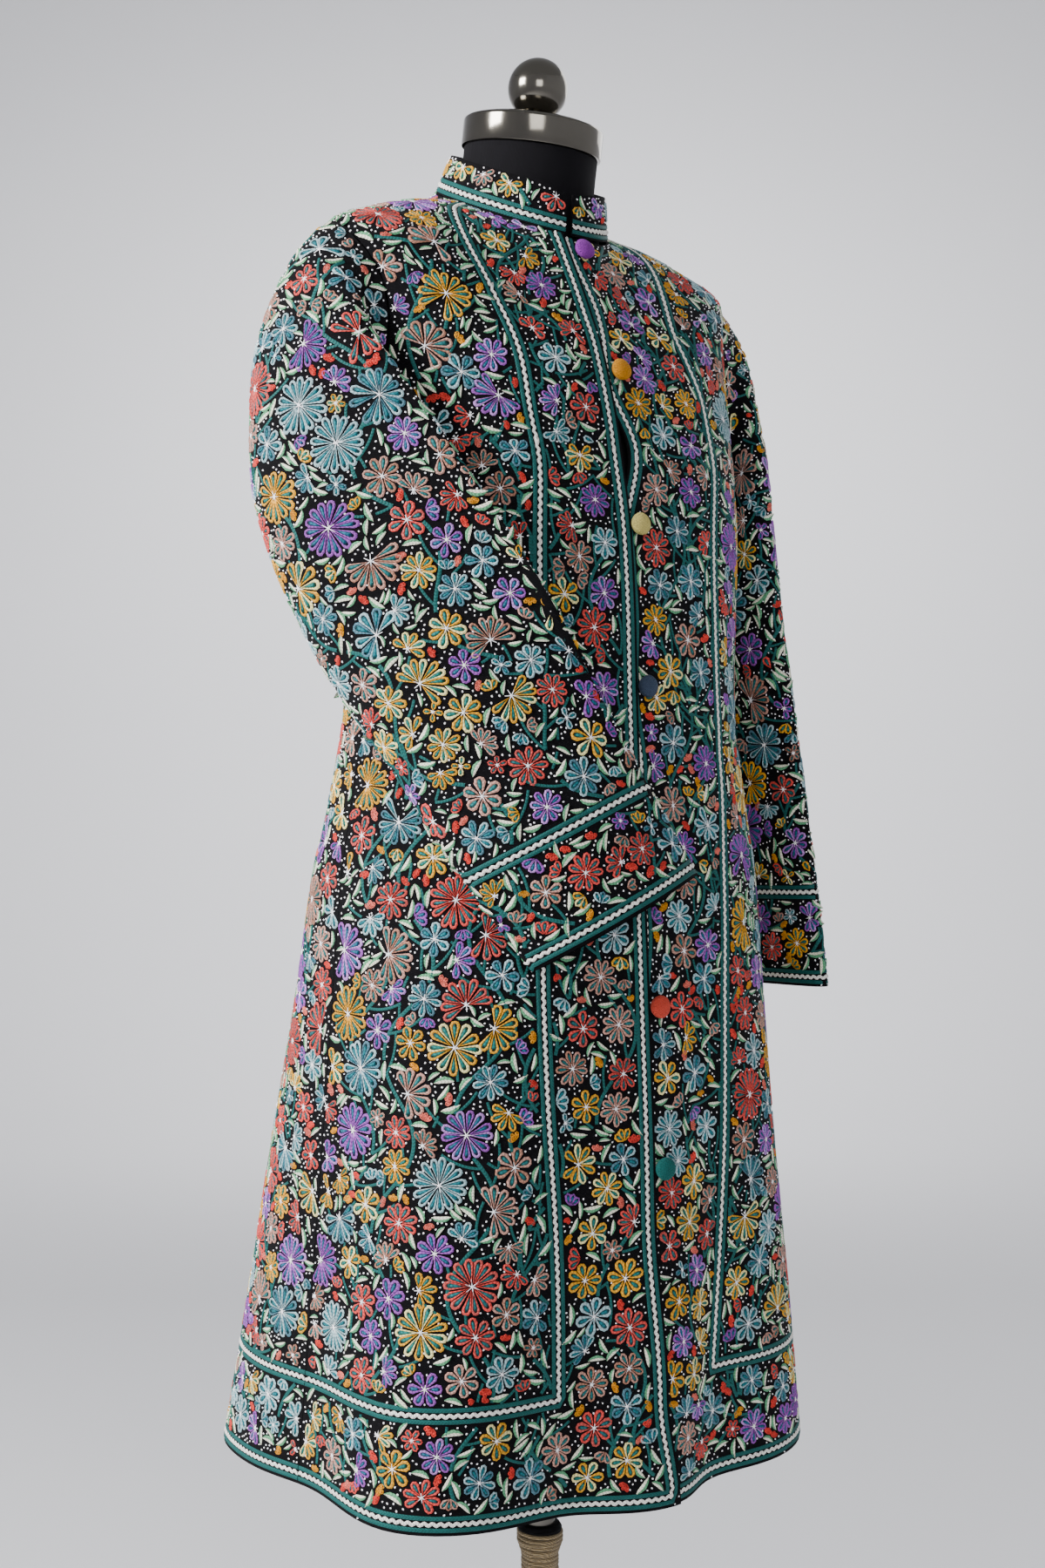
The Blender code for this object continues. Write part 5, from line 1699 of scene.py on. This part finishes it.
def form_clearance(angle, row):
    """How far the dress form lies inside the jacket's outer face."""
    table = ((0.0, 0.016), (4.0, 0.016), (6.0, 0.012), (BUST_ROW, 0.0075), (UNDERARM_ROW, 0.0060),
             (SHOULDER_ROW - 1, 0.0060), (SHOULDER_ROW, WALL + 0.0009),
             (NECK_ROW - 1.2, WALL + 0.0009), (NECK_ROW, WALL + 0.0060))
    return height_lookup(table, row) + 0.0050 * np.maximum(np.cos(np.radians(angle)), 0.0) ** 0.5


def dress_form(finish):
    """The stuffed torso under its stretched jersey, from its flat underside into the neck."""
    first = float(row_at_front_height(FORM_BOTTOM))
    rows = np.concatenate([np.linspace(first, UNDERARM_ROW, 24, endpoint=False),
                           armhole_rows(18)[:-1], np.linspace(SHOULDER_ROW, NECK_ROW, 14)])
    sides = FORM_SIDES
    angles = np.arange(sides) * 360 / sides
    angle_grid, row_grid = np.meshgrid(angles, rows)
    grid = (body_point(angle_grid, row_grid, fluted=False)
            - (form_clearance(angle_grid, row_grid) + TOUCH)[..., None]
            * body_normal(angle_grid, row_grid, fluted=False))
    grid[0, :, 2] = FORM_BOTTOM
    axis = np.array([0, -math.sin(NECK_TILT), math.cos(NECK_TILT)])
    side_axis = np.array([1.0, 0, 0])
    front_axis = np.cross(axis, side_axis)
    turn = np.radians(angles)[:, None]
    rings = [grid]
    for drop, radius in ((0.030, NECK_RADIUS + TOUCH), (0.015, NECK_RADIUS), (0.0, NECK_RADIUS)):
        base = NECK_TOP_CENTRE - axis * drop
        ring = base - side_axis * radius * np.sin(turn) - front_axis * radius * np.cos(turn)
        rings.append(ring[None])
    grid = np.concatenate(rings)
    count = grid.shape[0]
    index = np.arange(count * sides).reshape(count, sides)
    after = np.roll(index, -1, axis=1)
    faces = np.stack([index[:-1], index[1:], after[1:], after[:-1]], -1).reshape(-1, 4).tolist()
    faces += [index[0].tolist(), index[-1][::-1].tolist()]
    mesh = mesh_of("dress_form_torso", grid.reshape(-1, 3), faces)
    mesh.set_sharp_from_angle(angle=SHARP_CLOTH)
    return new_object("dress_form_torso", mesh, finish)


def cap_and_ball(finish):
    """The round steel cap with its rounded rim and low dome, and the ball on its foot."""
    axis = np.array([0, -math.sin(NECK_TILT), math.cos(NECK_TILT)])
    seat = NECK_TOP_CENTRE + axis * TOUCH
    rim = CAP_RIM - CAP_EDGE
    profile = [(0, 0), (CAP_RADIUS - 0.0012, 0), (CAP_RADIUS - 0.0003, 0.0004),
               (CAP_RADIUS, 0.0012), (CAP_RADIUS, rim)]
    for angle in range(15, 91, 15):
        turn = math.radians(angle)
        profile.append((CAP_RADIUS - CAP_EDGE * (1 - math.cos(turn)), rim + CAP_EDGE * math.sin(turn)))
    for share in (0.88, 0.75, 0.6, 0.45, 0.32):
        profile.append((CAP_RADIUS * share, CAP_RIM + CAP_DOME * (1 - share ** 2.2) * 0.97))
    profile += [(0.014, CAP_RIM + CAP_DOME), (0, CAP_RIM + CAP_DOME)]
    cap = turned("neck_cap_steel", profile, finish, seat, axis, 128)
    seat = seat + axis * (CAP_RIM + CAP_DOME + TOUCH)
    middle = BALL_HEIGHT - CAP_RIM - CAP_DOME
    profile = [(0, 0), (0.0135, 0), (0.0135, 0.0008), (0.0125, middle - BALL_RADIUS * 0.857)]
    for angle in range(-56, 90, 5):
        turn = math.radians(angle)
        profile.append((BALL_RADIUS * math.cos(turn), middle + BALL_RADIUS * math.sin(turn)))
    profile.append((0, middle + BALL_RADIUS))
    ball = turned("finial_ball_steel", profile, finish, seat, axis, 96)
    return cap, ball


POLE_RADIUS = 0.0122
WRAP_TOP = 0.386
WRAP_BOTTOM = 0.290
WRAP_RIM_RADIUS = 0.0190
WRAP_RADIUS = 0.0155
TUBE_RADIUS = 0.0140
HUB_HEIGHT = 0.048
BASE_RADIUS = 0.200
BASE_THICKNESS = 0.012
TWINE_RADIUS = 0.0017
TWINE_TURNS = 27
TWINE_PLACES = 24


def stand(steel_finish, twine_finish, cloth_finish, base_finish):
    """The pole, the lower tube, the base, and the twine lashed over the joint on its tape."""
    up, origin = (0, 0, 1), (0, 0, 0)
    top, foot = FORM_BOTTOM - TOUCH, WRAP_BOTTOM + 0.010
    pole = turned("pole_steel", [(0, foot), (POLE_RADIUS, foot), (POLE_RADIUS, top), (0, top)],
                  steel_finish, origin, up, 64)
    lower = turned("tube_steel", [(0, HUB_HEIGHT + TOUCH), (TUBE_RADIUS, HUB_HEIGHT + TOUCH),
                                  (TUBE_RADIUS, WRAP_BOTTOM), (0, WRAP_BOTTOM)],
                   steel_finish, origin, up, 64)
    base = turned("base_plate_enamel",
                  [(0, 0), (BASE_RADIUS - 0.002, 0), (BASE_RADIUS, 0.002),
                   (BASE_RADIUS, BASE_THICKNESS - 0.003),
                   (BASE_RADIUS - 0.001, BASE_THICKNESS - 0.001), (BASE_RADIUS - 0.004, BASE_THICKNESS),
                   (0.034, BASE_THICKNESS + 0.004), (0.026, 0.019), (0.022, 0.026),
                   (0.020, HUB_HEIGHT - 0.001), (0.019, HUB_HEIGHT), (0, HUB_HEIGHT)],
                  base_finish, origin, up, 128)
    thick = TWINE_RADIUS
    share = np.linspace(0, 1, TWINE_TURNS * TWINE_PLACES)
    z = WRAP_TOP - 0.004 - thick - share * (WRAP_TOP - WRAP_BOTTOM - 0.008 - 2 * thick)
    outer = np.interp(z, [WRAP_BOTTOM, WRAP_TOP - 0.024, WRAP_TOP - 0.014, WRAP_TOP],
                      [WRAP_RADIUS, WRAP_RADIUS, WRAP_RIM_RADIUS, WRAP_RIM_RADIUS])
    angle = 2 * np.pi * TWINE_TURNS * share
    wobble = 0.0004 * np.sin(angle * 0.37) + 0.0003 * np.sin(angle * 2.3)
    line = np.stack([(outer - thick) * np.cos(angle), (outer - thick) * np.sin(angle), z + wobble], -1)
    points, faces = tube(line, thick, 8)
    twine = new_object("twine_windings", mesh_of("twine_windings", points, faces), twine_finish)
    tape = turned("twine_tape", [(POLE_RADIUS + 0.0002, WRAP_TOP - 0.008), (0.0170, WRAP_TOP - 0.008),
                                 (0.0178, WRAP_TOP - 0.004), (0.0160, WRAP_TOP - 0.001),
                                 (POLE_RADIUS + 0.0002, WRAP_TOP)], cloth_finish, origin, up, 40)
    narrow, wide = WRAP_RADIUS - 0.0012, WRAP_RIM_RADIUS - 0.0024
    core = turned("twine_core", [(TUBE_RADIUS, WRAP_BOTTOM + 0.0005), (narrow, WRAP_BOTTOM + 0.001),
                                 (narrow, WRAP_TOP - 0.022), (wide, WRAP_TOP - 0.012),
                                 (wide, WRAP_TOP - 0.007), (POLE_RADIUS + 0.0003, WRAP_TOP - 0.006)],
                  twine_finish, origin, up, 40)
    add_to_jacket(pole, "brushed_steel", "pole")
    add_to_jacket(lower, "brushed_steel", "tube")
    add_to_jacket(base, "black_enamel", "base_plate")
    add_to_jacket(twine, "jute_twine", "twine_wrap")
    for made in (core, tape):
        add_to_jacket(made, "jute_twine")


# The studio

CAMERA_TURN = math.radians(38.0)
CAMERA_AWAY = 1.52
CAMERA_HEIGHT = 0.96
TOWARDS = Vector((-math.sin(CAMERA_TURN), -math.cos(CAMERA_TURN), 0))
RIGHT = Vector((math.cos(CAMERA_TURN), -math.sin(CAMERA_TURN), 0))
FLOOR_RADIUS = 4.4
SWEEP_RADIUS = 1.6
WALL_TOP = 6.0
AIR_COLOUR = (0.93, 0.95, 1.0, 1.0)
AIR_STRENGTH = 0.42
JACKET_MIDDLE = Vector((0, 0, 1.0))
WALL_MIDDLE = Vector((0, 0, 1.3)) - TOWARDS * (FLOOR_RADIUS + SWEEP_RADIUS)


def camera():
    data = bpy.data.cameras.new("photo_camera")
    data.sensor_width = 36.0
    data.lens = 43.2
    data.shift_x, data.shift_y = -20 / 1800, 30 / 1800
    made = bpy.data.objects.new("photo_camera", data)
    bpy.context.scene.collection.objects.link(made)
    made.location = TOWARDS * CAMERA_AWAY + Vector((0, 0, CAMERA_HEIGHT))
    made.rotation_euler = (-TOWARDS).to_track_quat("-Z", "Y").to_euler()
    bpy.context.scene.camera = made


def soft_light(name, side, ahead, height, size, power, aim):
    """A square soft box that shines at aim, placed by how far it stands to the camera's right, in
    front of the jacket, and above the floor."""
    data = bpy.data.lights.new(name, "AREA")
    data.shape, data.size, data.energy = "SQUARE", size, power
    made = bpy.data.objects.new(name, data)
    bpy.context.scene.collection.objects.link(made)
    made.location = RIGHT * side + TOWARDS * ahead + Vector((0, 0, height))
    made.rotation_euler = (aim - made.location).to_track_quat("-Z", "Y").to_euler()
    made.visible_camera = False


def studio():
    """A round sweep of pale paper: a floor that rises into a wall far away on every side."""
    profile = [(0.0, 0.0), (3.0, 0.0), (FLOOR_RADIUS, 0.0)]
    for angle in range(10, 91, 10):
        turn = math.radians(angle)
        profile.append((FLOOR_RADIUS + SWEEP_RADIUS * math.sin(turn), SWEEP_RADIUS * (1 - math.cos(turn))))
    profile += [(FLOOR_RADIUS + SWEEP_RADIUS, height) for height in (3.2, WALL_TOP)]
    sweep = turned("studio_sweep", profile, studio_paper(), (0, 0, -0.0005), (0, 0, 1), 96)
    world = bpy.data.worlds.new("studio_air")
    world.use_nodes = True
    air = world.node_tree.nodes["Background"].inputs
    air["Color"].default_value, air["Strength"].default_value = AIR_COLOUR, AIR_STRENGTH
    bpy.context.scene.world = world
    soft_light("window_box", -2.2, 1.2, 2.3, 0.9, 165.0, JACKET_MIDDLE)
    soft_light("front_box", 0.3, 2.6, 1.7, 1.0, 20.0, JACKET_MIDDLE)
    soft_light("rear_box", 1.4, -2.0, 2.6, 1.4, 18.0, JACKET_MIDDLE)
    soft_light("wall_box", 0.0, -3.6, 2.6, 1.8, 100.0, WALL_MIDDLE)


# Flat sizes of the cut pieces: width and length of the cloth that each is cut from
Cut = namedtuple("Cut", "width length")


FIRST_SEED = 20


def main():
    ground, stitch = black_wool(), chain_stitch()
    cloths = all_cloths()
    tree = scatter_tree()
    motifs = {}
    for name, mesh in (("great_petals", petal("great_petal", GREAT_PETAL, 0.56, 15)),
                       ("petals", petal("fine_petal", FINE_PETAL, 0.62, 11)),
                       ("small_petals", petal("small_petal", SMALL_PETAL, 0.62, 8)),
                       ("leaves", leaf("leaf")), ("seeds", seed("seed"))):
        motifs[name] = new_object("motif_" + name, mesh, stitch)
    for order, (name, cloth) in enumerate(cloths.items()):
        rng = np.random.default_rng(FIRST_SEED + order)
        wall = cloth_wall(cloth, ground)
        add_to_jacket(wall, "embroidered_wool", name)
        threads = Threads(cloth)
        lay = {"back": back_borders, "collar": collar_borders}.get(
            name, sleeve_borders if cloth.ring else front_borders)
        borders = joined(lay(threads))
        sets = embroider(cloth, rng, borders, threads, name == "collar")
        parts = [threads.finish(name + "_threads", stitch)]
        parts += [sewn(f"{name}_{motif}", tree, motifs[motif], stitch, places)
                  for motif, places in sets.items() if places]
        for part in parts:
            add_to_jacket(part, "embroidered_wool")
        float(cloth.area().sum())
    for made in motifs.values():
        bpy.data.objects.remove(made)
    buttons()
    form = dress_form(jersey())
    add_to_jacket(form, "black_jersey", "dress_form")
    cap, ball = cap_and_ball(steel("polished_cap_steel", "#6f6b63", 0.08, 0.28, (1, 1, 0.08)))
    add_to_jacket(cap, "polished_steel", "neck_cap")
    add_to_jacket(ball, "polished_steel", "finial_ball")
    pole_steel = steel("brushed_pole_steel", "#6a6761", 0.25, 0.45, (1, 1, 0.02))
    stand(pole_steel, jute(), jersey(), enamel())
    camera()
    studio()


main()
